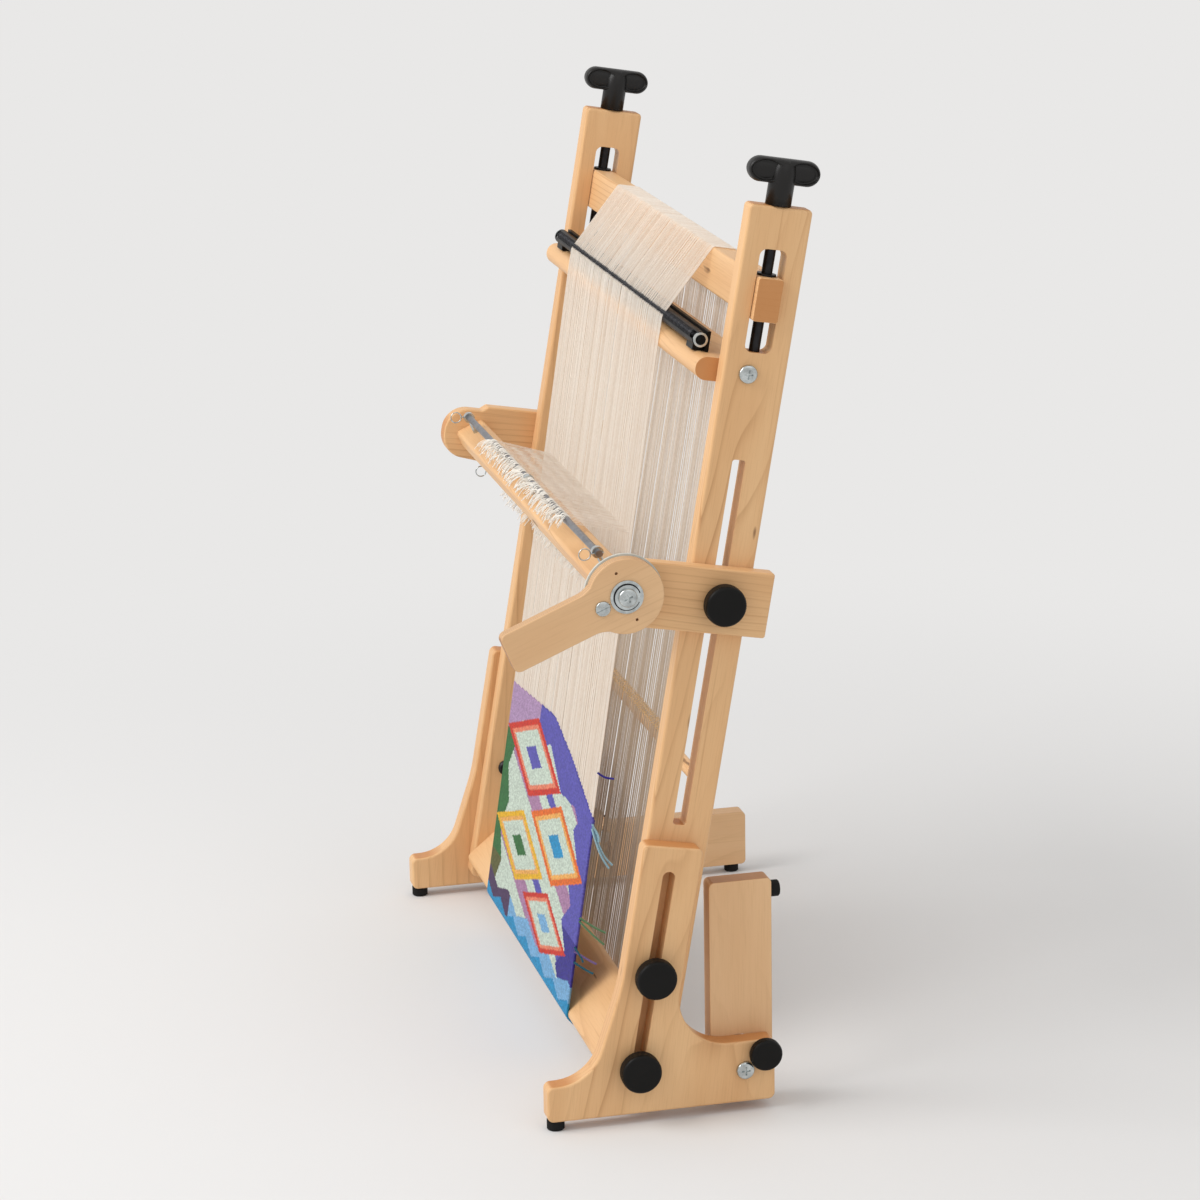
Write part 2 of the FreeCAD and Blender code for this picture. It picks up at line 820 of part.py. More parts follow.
def lever_screw():
    v = pivot_v - lever_screw_reach
    head = turned([(0, lever_screw_radius), (lever_screw_height, lever_screw_radius)], lever_outer, v, pivot_u)
    head = head.makeFillet(lever_screw_height * 0.6, rim_at(head, lever_outer + lever_screw_height))
    top = lever_outer + lever_screw_height
    half = lever_slot_width / 2
    wide = (v - lever_screw_radius, v + lever_screw_radius)
    head = head.cut(block((top - lever_slot_depth, top), wide, (pivot_u - half, pivot_u + half)))
    shank = round_bar((lever_inner - nylon_disc_thickness, lever_outer), v, pivot_u, lever_screw_shank)
    return head.fuse(shank)


def rod_clip(x, side, radius):
    """A wire pin through a rod's end, with the ring that it is pulled by in front of the rod."""
    rod = FreeCAD.Vector(x, pivot_v, pivot_u + side * heddle_rod_rise)
    centre = rod + FreeCAD.Vector(0, -clip_forwards, side * clip_outwards)
    inwards = (rod - centre).normalize()
    start = centre + inwards * clip_radius
    length = (rod - start).Length + clip_tail
    pin = Part.makeCylinder(radius, length, start, inwards)
    return Part.makeTorus(clip_radius, radius, centre, across).fuse(pin)


def clip_places():
    end = heddle_rod_length / 2 - clip_inset
    return [(x, side) for side in (1, -1) for x in (-end, end)]


def heddle_rods():
    rods = []
    for side in (1, -1):
        span = (-heddle_rod_length / 2, heddle_rod_length / 2)
        rod = round_bar(span, pivot_v, pivot_u + side * heddle_rod_rise, heddle_rod_radius)
        for x, rod_side in clip_places():
            if rod_side == side:
                rod = rod.cut(rod_clip(x, side, clip_wire_radius + soft_gap))
        rods.append(rod)
    return rods


def rod_brackets():
    """Eyes that hold each rod off the bar, at its two ends and in its middle."""
    brackets = []
    for side in (1, -1):
        for end in (-1, 0, 1):
            middle = end * (heddle_rod_length / 2 - bracket_inset)
            span = (middle - bracket_eye_length / 2, middle + bracket_eye_length / 2)
            height = pivot_u + side * heddle_rod_rise
            base = pivot_u + side * shed_bar_thickness / 2
            post = round_post(middle, pivot_v, (min(base, height), max(base, height)), bracket_post_radius)
            eye = round_bar(span, pivot_v, height, heddle_rod_radius + bracket_eye_wall)
            brackets.append(post.fuse(eye).cut(round_bar(span, pivot_v, height, heddle_rod_radius)))
    return brackets


def rod_clips():
    return [rod_clip(x, side, clip_wire_radius) for x, side in clip_places()]


def warp_supports():
    """Centre and radius of each round edge that the warp could bear on."""
    top = beam_top - beam_edge
    low = beam_bottom + beam_edge
    nose = front_bar_thickness / 2
    rear = plank_thickness / 2
    supports = [(v, u, beam_edge) for v in (beam_front + beam_edge, beam_back - beam_edge) for u in (low, top)]
    supports.append((channel_v, channel_u, max(channel_radius, coil_offset + coil_radius + coil_wire_radius)))
    supports.append((front_bar_nose + nose, front_bar_u, nose))
    supports.append(plank_place(plank_width - rear, rear) + (rear,))
    supports.append(plank_place(plank_front_edge, plank_front_edge) + (plank_front_edge,))
    supports.append(plank_place(plank_front_edge, plank_thickness - plank_front_edge) + (plank_front_edge,))
    return supports


def hull(points):
    """The convex outline round these points."""
    ordered = sorted(points)
    chains = []
    for run in (ordered, ordered[::-1]):
        chain = []
        for point in run:
            while len(chain) > 1 and turn_of(chain[-2], chain[-1], point) <= 0:
                chain.pop()
            chain.append(point)
        chains += chain[:-1]
    return chains


def turn_of(first, second, third):
    return ((second[0] - first[0]) * (third[1] - first[1])
            - (second[1] - first[1]) * (third[0] - first[0]))


def warp_loop(offset):
    """The face inside a band pulled tight round the supports, this far off them."""
    points = []
    for v, u, radius in warp_supports():
        for degrees in range(0, 360, hull_step):
            angle = math.radians(degrees)
            reach = radius + offset
            points.append((v + reach * math.cos(angle), u + reach * math.sin(angle)))
    corners = [FreeCAD.Vector(0, v, u) for v, u in hull(points)]
    return Part.Face(Part.makePolygon(corners + corners[:1]))


def warp_band(thickness):
    return warp_loop(soft_gap + thickness).cut(warp_loop(soft_gap))


def warp_part(zones):
    """The threads where they run through these zones of the loop, given as (v, u) spans."""
    band = warp_band(thread)
    pieces = []
    for sides, ends in zones:
        zone = panel(rectangle(sides, ends, 0), (-1, 1))
        pieces.append(band.common(zone))
    strips = []
    for index in range(int(warp_width / warp_spacing) + 1):
        x = warp_left + index * warp_spacing
        for piece in pieces:
            for face in piece.Faces:
                strip = face.extrude(FreeCAD.Vector(thread, 0, 0))
                strip.translate(FreeCAD.Vector(x - thread / 2, 0, 0))
                strips.append(strip)
    return strips


def tapestry():
    band = warp_band(cloth_thickness)
    top = cloth_bottom + cloth_peak_height
    zone = panel(rectangle((-upright_depth, window_middle), (cloth_bottom, top), 0), (-1, 1))
    face = band.common(zone).Faces[0]
    slab = face.extrude(FreeCAD.Vector(cloth_width, 0, 0))
    slab.translate(FreeCAD.Vector(cloth_left, 0, 0))
    return slab.common(tapestry_zone(-upright_depth, upright_depth))


def tapestry_zone(front, depth):
    """All that lies below the cloth's upper edge."""
    right = cloth_left + cloth_width
    places = [
        (cloth_left, 0),
        (right, 0),
        (right, cloth_right_height),
        (cloth_step_x, cloth_step_height),
        (cloth_peak_x, cloth_peak_height),
        (cloth_left, cloth_left_height),
    ]
    corners = [FreeCAD.Vector(x, front, cloth_bottom + height) for x, height in places]
    face = Part.Face(Part.makePolygon(corners + corners[:1]))
    return face.extrude(FreeCAD.Vector(0, depth, 0))


def lower_warp():
    """From the spring down to the cloth, and from under the cloth round the plank."""
    deep = plank_place(plank_width, plank_thickness)[1]
    above_cloth = ((-upright_depth, window_middle), (cloth_bottom, channel_u))
    front_under = ((-upright_depth, window_middle), (-upright_depth, cloth_bottom))
    rear_under = ((window_middle, 2 * upright_depth), (-upright_depth, deep))
    strips = warp_part([front_under, rear_under])
    cover = tapestry_zone(-upright_depth, upright_depth)
    for strip in warp_part([above_cloth]):
        strips += strip.cut(cover).Solids
    return strips


def front_warp():
    return warp_part([((-upright_depth, window_middle), (channel_u, beam_top - beam_edge))])


def beam_warp():
    over = ((-upright_depth, 2 * upright_depth), (beam_top - beam_edge, upright_top))
    behind = ((window_middle, 2 * upright_depth), (beam_bottom + beam_edge, beam_top - beam_edge))
    return warp_part([over, behind])


def back_warp():
    deep = plank_place(plank_width, plank_thickness)[1]
    return warp_part([((window_middle, 2 * upright_depth), (deep, beam_bottom + beam_edge))])


def heddles():
    """Strings from the two rods back to the warp."""
    warp_front = warp_loop(soft_gap + thread + soft_gap)
    strings = []
    for side in (1, -1):
        rod = tilted_place(0, side * heddle_rod_rise)
        start = rod[0] + heddle_rod_radius + soft_gap
        level = (rod[1] - thread / 2, rod[1] + thread / 2)
        row = panel(rectangle((start, window_middle), level, 0), (-1, 1))
        row_face = [face for face in row.Faces if abs(face.CenterOfMass.x - 1) < soft_gap][0]
        row_face.translate(FreeCAD.Vector(-1, 0, 0))
        string_face = row_face.cut(warp_front).Faces[0]
        for index in range(int(warp_width / heddle_spacing)):
            x = warp_left + (index + 0.5) * heddle_spacing
            string = string_face.extrude(FreeCAD.Vector(thread, 0, 0))
            string.translate(FreeCAD.Vector(x, 0, 0))
            strings.append(string)
    return strings


def tilted_place(v, u):
    """Where a point beside the pivot lies once the shedding parts are tilted."""
    angle = math.radians(shed_tilt)
    return (pivot_v + v * math.cos(angle) - u * math.sin(angle),
            pivot_u + v * math.sin(angle) + u * math.cos(angle))


def floor_nodes():
    """What stands on the floor: foot plates, feet and the fold-out legs."""
    nodes = {"leg_pivot_bolts": [leg_pivot_bolt(), mirrored(leg_pivot_bolt())]}
    nut = leg_nut(*lock_place(), bolt_radius + running_gap)
    nodes["leg_lock_nuts"] = [nut, mirrored(nut)]
    pieces = {
        "foot_plate": foot_plate(),
        "front_foot": front_foot(),
        "leg_lock_knob": knob_on_bolt(lock_knob(), lock_stud(), 0),
        "leg_lock_stud": lock_stud(),
    }
    for name, shape in pieces.items():
        nodes["right_" + name] = [shape]
        nodes["left_" + name] = [mirrored(shape)]
    for name, shape in (("leg", leg()), ("leg_foot", leg_foot())):
        nodes["right_" + name] = [folded(shape)]
        nodes["left_" + name] = [mirrored(shape)]
    return nodes


def frame_nodes():
    """The leaning frame, its clamps, the top beam and its screws."""
    stretcher = round_bar((-inner_face, inner_face), stretcher_v, stretcher_u, stretcher_radius)
    bolt = upper_clamp_bolt()
    stud = lower_clamp_stud()
    nodes = {
        "bottom_beam": [plank()],
        "bottom_beam_inserts": plank_inserts(),
        "stretcher": [stretcher],
        "front_bar": [front_bar()],
        "front_bar_screws": front_screws(),
        "spring_channel": [warp_channel()],
        "channel_feet": channel_feet(),
        "channel_end_rings": channel_end_rings(),
        "warp_spring": [warp_spring()],
        "upper_clamp_bolts": [bolt, mirrored(bolt)],
        "top_beam": [top_beam()],
        "beam_nuts": beam_nuts(),
    }
    pieces = {
        "upright": upright(),
        "upper_clamp_knob": knob_on_bolt(clamp_knob(knob_depth, upper_clamp_height), bolt, running_gap),
        "lower_clamp_knob": knob_on_bolt(clamp_knob(deep_knob_depth, lower_clamp_height), stud, 0),
        "lower_clamp_stud": stud,
        "tension_rod": tension_rod(),
        "tension_handle": tension_handle(),
    }
    for name, shape in pieces.items():
        nodes["right_" + name] = [shape]
        nodes["left_" + name] = [mirrored(shape)]
    return nodes


def shed_nodes():
    """The arms on the uprights, and the shedding bar between them."""
    bolt = arm_bolt()
    nodes = {"arm_bolts": [bolt, mirrored(bolt)]}
    for name, shape in (("arm", arm()), ("arm_knob", knob_on_bolt(arm_knob(), bolt, running_gap))):
        nodes["right_" + name] = [shape]
        nodes["left_" + name] = [mirrored(shape)]
    level = {
        "shed_bar": [shed_bar()],
        "lever": [lever()],
        "nylon_disc": [nylon_disc()],
        "lever_washer": [lever_washer()],
        "lever_bolt": [lever_bolt()],
        "far_pivot_bolt": [far_pivot_bolt()],
        "lever_screw": [lever_screw()],
        "heddle_rods": heddle_rods(),
        "rod_brackets": rod_brackets(),
        "rod_clips": rod_clips(),
    }
    for name, shapes in level.items():
        nodes[name] = [tilted(shape) for shape in shapes]
    return nodes


def textile_nodes():
    return {
        "front_warp": front_warp(),
        "beam_warp": beam_warp(),
        "back_warp": back_warp(),
        "lower_warp": lower_warp(),
        "tapestry": [tapestry()],
        "heddles": heddles(),
    }


def build():
    nodes = floor_nodes()
    for group in (frame_nodes(), shed_nodes(), textile_nodes()):
        for name, shapes in group.items():
            nodes[name] = [leaning(shape) for shape in shapes]
    return nodes


def export(nodes):
    """Write every node, with the middle of the whole loom's depth at Y zero."""
    bounds = [shape.optimalBoundingBox(False) for shapes in nodes.values() for shape in shapes]
    front = min(bound.YMin for bound in bounds)
    back = max(bound.YMax for bound in bounds)
    setback = (front + back) / 2
    os.makedirs("parts", exist_ok=True)
    for name, shapes in nodes.items():
        node = Part.makeCompound(shapes)
        node.translate(FreeCAD.Vector(0, -setback, 0))
        node.exportStep("parts/" + name + ".step")
    print("depth, mm:", round(front, 3), round(back, 3), "middle:", round(setback, 3))
    print("nodes:", len(nodes), "solids:", sum(len(shapes) for shapes in nodes.values()))


report_spring_gap()
export(build())
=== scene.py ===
import json
import math
import random

import bmesh
import bpy
from mathutils import Matrix, Vector


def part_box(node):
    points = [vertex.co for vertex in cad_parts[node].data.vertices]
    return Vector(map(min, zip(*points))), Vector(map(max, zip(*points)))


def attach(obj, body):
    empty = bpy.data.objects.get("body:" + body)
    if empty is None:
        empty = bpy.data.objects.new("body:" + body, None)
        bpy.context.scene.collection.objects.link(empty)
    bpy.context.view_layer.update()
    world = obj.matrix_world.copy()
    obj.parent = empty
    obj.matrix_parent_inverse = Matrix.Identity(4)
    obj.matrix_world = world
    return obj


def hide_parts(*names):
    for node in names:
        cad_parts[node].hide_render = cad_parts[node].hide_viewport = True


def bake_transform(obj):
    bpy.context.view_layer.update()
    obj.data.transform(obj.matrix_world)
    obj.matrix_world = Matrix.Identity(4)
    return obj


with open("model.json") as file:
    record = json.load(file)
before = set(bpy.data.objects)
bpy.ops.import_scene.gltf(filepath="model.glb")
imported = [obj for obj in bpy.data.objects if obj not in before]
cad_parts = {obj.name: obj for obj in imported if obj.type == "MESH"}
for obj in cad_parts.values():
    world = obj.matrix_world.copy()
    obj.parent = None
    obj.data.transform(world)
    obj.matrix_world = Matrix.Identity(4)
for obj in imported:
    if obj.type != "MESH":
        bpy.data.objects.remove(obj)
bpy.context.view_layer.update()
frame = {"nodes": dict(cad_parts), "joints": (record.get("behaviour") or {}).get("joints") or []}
nodes = frame["nodes"]
scene = bpy.context.scene
jointAt = {joint["name"]: Vector(joint["pos_m"]) for joint in frame["joints"] if "pos_m" in joint}

# Places square to the leaning uprights: x across, v backwards from their front, u up along them
lean = math.radians(10)
pivotPlace = {"v": -0.062, "u": 0.489}
alongLean = Vector((0, math.sin(lean), math.cos(lean)))
backOfLean = Vector((0, math.cos(lean), -math.sin(lean)))


def loomPlace(x, v, u):
    spot = jointAt["shed_tilt"].copy()
    spot.x = x
    return spot + alongLean * (u - pivotPlace["u"]) + backOfLean * (v - pivotPlace["v"])


# Camera, as the photograph was taken
camera = {
    "place": (3.38525, -0.831795, 1.36977),
    "looking": (-0.93686808, 0.22261041, -0.26967167),
    "roll": -1.0375,
    "lens": 114.249,
    "sensor": 36.0,
    "shiftY": -0.0008,
}


def addCamera():
    data = bpy.data.cameras.new("photoCamera")
    data.lens = camera["lens"]
    data.sensor_width = camera["sensor"]
    data.shift_y = camera["shiftY"]
    data.clip_end = 50
    view = bpy.data.objects.new("photoCamera", data)
    ahead = Vector(camera["looking"]).normalized()
    level = ahead.cross(Vector((0, 0, 1))).normalized()
    upright = level.cross(ahead)
    turn = math.radians(camera["roll"])
    right = level * math.cos(turn) + upright * math.sin(turn)
    up = upright * math.cos(turn) - level * math.sin(turn)
    axes = Matrix((right, up, -ahead)).transposed().to_4x4()
    view.matrix_world = Matrix.Translation(Vector(camera["place"])) @ axes
    scene.collection.objects.link(view)
    scene.camera = view
    print("camera set")


# Shader helpers

def newMaterial(name, **values):  # a material, its tree and the coordinates on the piece
    material = bpy.data.materials.new(name)
    material.use_nodes = True
    tree = material.node_tree
    for socket, value in values.items():
        tree.nodes["Principled BSDF"].inputs[socket.replace("_", " ")].default_value = value
    return material, tree, addNode(tree, "ShaderNodeTexCoord").outputs


def addNode(tree, kind, inputs=None, **settings):
    node = tree.nodes.new(kind)
    for name, value in settings.items():
        setattr(node, name, value)
    for socket, value in (inputs or {}).items():
        if isinstance(value, bpy.types.NodeSocket):
            tree.links.new(value, node.inputs[socket])
        else:
            node.inputs[socket].default_value = value
    return node


def resultOf(tree, kind, inputs=None, **settings):  # what a new node gives first
    return addNode(tree, kind, inputs, **settings).outputs[0]


def colour(r, g, b):  # sRGB of 0 to 255, as a shader takes it
    linear = [((c / 255 + 0.055) / 1.055) ** 2.4 if c > 10 else c / 255 / 12.92 for c in (r, g, b)]
    return (*linear, 1.0)


def blend(tree, amount, first, second, mode="MIX"):
    mix = addNode(tree, "ShaderNodeMix", {0: amount, 6: first, 7: second}, data_type="RGBA", blend_type=mode)
    return mix.outputs[2]


def ramp(tree, value, low, high):  # 0 at low, 1 at high, and a straight rise between
    return resultOf(tree, "ShaderNodeMapRange", {0: value, 1: low, 2: high})


def calc(tree, operation, *values):
    return resultOf(tree, "ShaderNodeMath", dict(enumerate(values)), operation=operation)


def noiseOf(tree, place, scale, detail=2.0, roughness=0.5):
    return resultOf(tree, "ShaderNodeTexNoise", {"Vector": place, "Scale": scale, "Detail": detail,
                                                 "Roughness": roughness})


def tint(tree, base, value, span, strength, tone):  # more of a tone as the value goes through its span
    amount = calc(tree, "MULTIPLY", ramp(tree, value, *span), strength)
    return blend(tree, amount, base, tone)


def drive(tree, socket, value):  # a pattern on one of the shader's sockets
    tree.links.new(value, tree.nodes["Principled BSDF"].inputs[socket])


def addBump(tree, height, strength, distance):
    bump = resultOf(tree, "ShaderNodeBump", {"Strength": strength, "Distance": distance, "Height": height})
    drive(tree, "Normal", bump)


# Wood

woodLook = {
    "maple": {"pale": colour(233, 190, 140), "mid": colour(220, 171, 120), "deep": colour(172, 116, 68),
              "end": colour(196, 132, 76), "roughness": 0.45, "flecks": 0.75, "rings": 0.54},
    "birch": {"pale": colour(230, 190, 145), "mid": colour(220, 176, 130), "deep": colour(182, 136, 94),
              "end": colour(172, 118, 74), "roughness": 0.5, "flecks": 0.0, "rings": 0.24},
}
grainNoise = {  # how far each is drawn out along the grain, its scale, detail and roughness
    "broad": (0.16, 22.0, 3.0, 0.5), "waves": (0.16, 9.0, 3.0, 0.5), "patches": (0.3, 14.0, 2.0, 0.5),
    "pores": (0.03, 900.0, 3.0, 0.6), "streaks": (0.012, 240.0, 2.0, 0.5), "flecks": (0.22, 62.0, 2.0, 0.5),
}
grainShows = {  # where each starts to show, and shows in full
    "broad": (0.3, 0.75), "patches": (0.38, 0.68), "pores": (0.5, 0.8), "streaks": (0.66, 0.74),
    "flecks": (0.715, 0.75), "endGrain": (0.75, 0.95),
}
grainTint = {"pores": 0.22, "streaks": 0.28, "endGrain": 0.85, "fleckTone": colour(96, 58, 32),
             "bump": (0.22, 0.0004)}
grainShift = (3, 0.012, 0.01)  # metres at most along the grain, across it and into the board
ringLines = {"step": 0.0056, "pith": 0.045, "tilt": 0.055, "wave": 0.03, "line": (0.62, 0.96), "power": 2.0}
plyLayers = {"step": 0.0028, "shows": (-0.4, 0.6), "edge": (0.75, 0.45), "strength": 0.6,
             "tone": colour(128, 84, 50)}


def grainOf(tree, axes, name):
    stretch, scale, detail, roughness = grainNoise[name]
    along = calc(tree, "MULTIPLY", axes[0], stretch)
    place = resultOf(tree, "ShaderNodeCombineXYZ", {0: along, 1: axes[1], 2: axes[2]})
    return noiseOf(tree, place, scale, detail, roughness)


def dotOf(tree, vector, axis):
    dot = addNode(tree, "ShaderNodeVectorMath", {0: vector, 1: axis}, operation="DOT_PRODUCT")
    return dot.outputs["Value"]


def growthRings(tree, axes):  # thin late-wood lines, in long arches where a board is cut flat
    tilted = calc(tree, "MULTIPLY_ADD", axes[0], ringLines["tilt"], axes[2])
    deep = calc(tree, "ADD", tilted, ringLines["pith"])
    square = calc(tree, "ADD", calc(tree, "MULTIPLY", axes[1], axes[1]), calc(tree, "MULTIPLY", deep, deep))
    waves = grainOf(tree, axes, "waves")
    radius = calc(tree, "MULTIPLY_ADD", waves, ringLines["wave"], calc(tree, "SQRT", square))
    share = calc(tree, "FRACT", calc(tree, "DIVIDE", radius, ringLines["step"]))
    start, full = ringLines["line"]
    line = calc(tree, "POWER", ramp(tree, share, start, full), ringLines["power"])
    ending = ramp(tree, share, 1.0, full)
    strength = ramp(tree, grainOf(tree, axes, "patches"), *grainShows["patches"])
    return calc(tree, "MULTIPLY", calc(tree, "MULTIPLY", line, ending), strength)


def woodMaterial(name, kind, grain, face, seed, plies=False):
    look = woodLook[kind]
    material, tree, coords = newMaterial(name, Roughness=look["roughness"], Specular_IOR_Level=0.3)
    along = Vector(grain).normalized()
    depth = Vector(face).normalized()
    shift = random.Random(seed)
    axes = []
    for axis, reach in zip((along, depth.cross(along).normalized(), depth), grainShift):
        place = dotOf(tree, coords["Object"], axis)
        axes.append(calc(tree, "ADD", place, shift.uniform(-reach, reach)))
    broad = ramp(tree, grainOf(tree, axes, "broad"), *grainShows["broad"])
    base = blend(tree, broad, look["pale"], look["mid"])
    rings = calc(tree, "MULTIPLY", growthRings(tree, axes), look["rings"])
    base = blend(tree, rings, base, look["deep"])
    pores = grainOf(tree, axes, "pores")
    facing = calc(tree, "ABSOLUTE", dotOf(tree, coords["Normal"], along))
    for mark, value, strength, tone in (
            ("pores", pores, grainTint["pores"], look["deep"]),
            ("streaks", grainOf(tree, axes, "streaks"), grainTint["streaks"], look["deep"]),
            ("flecks", grainOf(tree, axes, "flecks"), look["flecks"], grainTint["fleckTone"]),
            ("endGrain", facing, grainTint["endGrain"], look["end"])):
        base = tint(tree, base, value, grainShows[mark], strength, tone)
    if plies:
        base = addPlies(tree, coords, base)
    drive(tree, "Base Color", base)
    addBump(tree, pores, *grainTint["bump"])
    return material


def addPlies(tree, coords, base):  # plywood's layers, where its edges show
    across = resultOf(tree, "ShaderNodeSeparateXYZ", {0: coords["Object"]})
    facing = resultOf(tree, "ShaderNodeSeparateXYZ", {0: coords["Normal"]})
    layers = calc(tree, "SINE", calc(tree, "MULTIPLY", across, 2 * math.pi / plyLayers["step"]))
    edge = ramp(tree, calc(tree, "ABSOLUTE", facing), *plyLayers["edge"])
    strength = calc(tree, "MULTIPLY", edge, plyLayers["strength"])
    return tint(tree, base, layers, plyLayers["shows"], strength, plyLayers["tone"])


# Plastic, metal, rubber and thread

plasticLook = {"smudges": (60.0, 4.0), "smudge": 0.6, "paler": (1.7, 0.004), "speckles": 1400.0,
               "bump": 0.0002}
metalLook = {"marks": (900.0, 3.0), "clouds": (160.0, 3.0), "cloudy": (0.35, 0.75), "darker": 0.6,
             "bump": (0.15, 0.0001)}
# paintedLowShade: the heights in metres where painted shade on the back warp starts and where it is full
threadLook = {"own": 0.42, "slubs": 340.0, "slub": 0.55, "twist": (1100.0, 1.0), "paintedLowShade": (0.52, 0.3),
              "bump": (0.4, 0.0003)}
yarnLook = {"heather": (260.0, 3.0), "lighter": (0.2, 0.9), "light": 0.03, "lightTone": (1, 1, 1, 1),
            "fuzz": (900.0, 3.0), "darker": (0.55, 0.3), "dark": 0.3, "darkTone": (0.02, 0.02, 0.03, 1),
            "bump": (0.5, 0.0004)}


def plasticMaterial(name, tone, roughness, grain=0.25, gloss=0.16):
    material, tree, coords = newMaterial(name, Base_Color=tone, Roughness=roughness, Specular_IOR_Level=gloss)
    smudges = noiseOf(tree, coords["Object"], *plasticLook["smudges"])
    factor, lift = plasticLook["paler"]
    paler = tuple(min(1.0, c * factor + lift) for c in tone[:3]) + (1.0,)
    smudge = calc(tree, "MULTIPLY", smudges, plasticLook["smudge"])
    drive(tree, "Base Color", blend(tree, smudge, tone, paler))
    drive(tree, "Roughness", calc(tree, "MULTIPLY_ADD", smudges, 0.16, roughness - 0.08))
    addBump(tree, noiseOf(tree, coords["Object"], plasticLook["speckles"]), grain, plasticLook["bump"])
    return material


def metalMaterial(name, tone, roughness, brushed=(1.0, 1.0, 1.0)):
    material, tree, coords = newMaterial(name, Base_Color=tone, Roughness=roughness, Metallic=1.0)
    drawn = resultOf(tree, "ShaderNodeVectorMath", {0: coords["Object"], 1: brushed}, operation="MULTIPLY")
    marks = noiseOf(tree, drawn, *metalLook["marks"])
    clouds = ramp(tree, noiseOf(tree, coords["Object"], *metalLook["clouds"]), *metalLook["cloudy"])
    darker = tuple(c * metalLook["darker"] for c in tone[:3]) + (1.0,)
    drive(tree, "Base Color", blend(tree, clouds, tone, darker))
    drive(tree, "Roughness", calc(tree, "MULTIPLY_ADD", marks, 0.2, roughness - 0.1))
    addBump(tree, marks, *metalLook["bump"])
    return material


def threadMaterial(name, tone, shade, paintedLowShade=None):  # each thread has its own tone, with thick and thin places
    material, tree, coords = newMaterial(name, Roughness=0.85, Specular_IOR_Level=0.2, Sheen_Weight=0.2,
                                         Sheen_Roughness=0.5)
    place = coords["Object"]
    own = addNode(tree, "ShaderNodeAttribute", attribute_name="tone")
    slubs = calc(tree, "MULTIPLY", noiseOf(tree, place, threadLook["slubs"]), threadLook["slub"])
    mix = calc(tree, "MULTIPLY_ADD", own.outputs["Fac"], threadLook["own"], slubs)
    base = blend(tree, mix, tone, shade)
    if paintedLowShade:  # painted shade: a darker tone lower down, behind the cloth, where the cloth shades the back warp
        height = addNode(tree, "ShaderNodeSeparateXYZ", {0: place}).outputs[2]
        base = blend(tree, ramp(tree, height, *threadLook["paintedLowShade"]), base, paintedLowShade, "MULTIPLY")
    drive(tree, "Base Color", base)
    addBump(tree, noiseOf(tree, place, *threadLook["twist"]), *threadLook["bump"])
    return material


def yarnMaterial(name):  # wool, coloured by each stitch's own yarn
    material, tree, coords = newMaterial(name, Roughness=0.9, Specular_IOR_Level=0.1, Sheen_Weight=0.08,
                                         Sheen_Roughness=0.6)
    yarn = addNode(tree, "ShaderNodeAttribute", attribute_name="yarn").outputs["Color"]
    fuzz = noiseOf(tree, coords["Object"], *yarnLook["fuzz"])
    heather = noiseOf(tree, coords["Object"], *yarnLook["heather"])
    base = tint(tree, yarn, heather, yarnLook["lighter"], yarnLook["light"], yarnLook["lightTone"])
    base = tint(tree, base, fuzz, yarnLook["darker"], yarnLook["dark"], yarnLook["darkTone"])
    drive(tree, "Base Color", base)
    addBump(tree, fuzz, *yarnLook["bump"])
    return material


acrossLoom = (1, 0, 0)
plateFoot = (0, 0.12, 1)
finishes = {
    "blackPlastic": plasticMaterial("blackPlastic", colour(11, 10, 9), 0.42),
    "handlePlastic": plasticMaterial("handlePlastic", colour(16, 14, 13), 0.38, 0.3, 0.34),
    "whiteNylon": plasticMaterial("whiteNylon", colour(188, 192, 186), 0.4, 0.1),
    "blackRubber": plasticMaterial("blackRubber", colour(22, 21, 20), 0.75, 0.5),
    "zinc": metalMaterial("zincPlate", (0.60, 0.64, 0.64, 1.0), 0.24),
    "rodSteel": metalMaterial("rodSteel", (0.30, 0.30, 0.32, 1.0), 0.38, (0.05, 1.0, 1.0)),
    "springSteel": metalMaterial("springSteel", (0.055, 0.055, 0.06, 1.0), 0.35),
    "blackSteel": metalMaterial("blackSteel", (0.035, 0.034, 0.036, 1.0), 0.45),
    "cotton": threadMaterial("cottonWarp", colour(253, 246, 236), colour(230, 213, 194)),
    # the back warp's cotton: a darker copy of the warp cotton, as painted shade, with more painted shade
    # lower down
    "cottonPaintedShade": threadMaterial("cottonPaintedShade", colour(250, 240, 228), colour(208, 190, 170),
                                   colour(208, 197, 184)),
    "cottonWhite": threadMaterial("heddleCotton", colour(248, 244, 236), colour(226, 218, 206)),
    "wool": yarnMaterial("tapestryWool"),
    "goldCotton": threadMaterial("headerCotton", colour(214, 176, 124), colour(176, 136, 88)),
}
print("materials made")


# The solids that keep their shape, and the finish of each

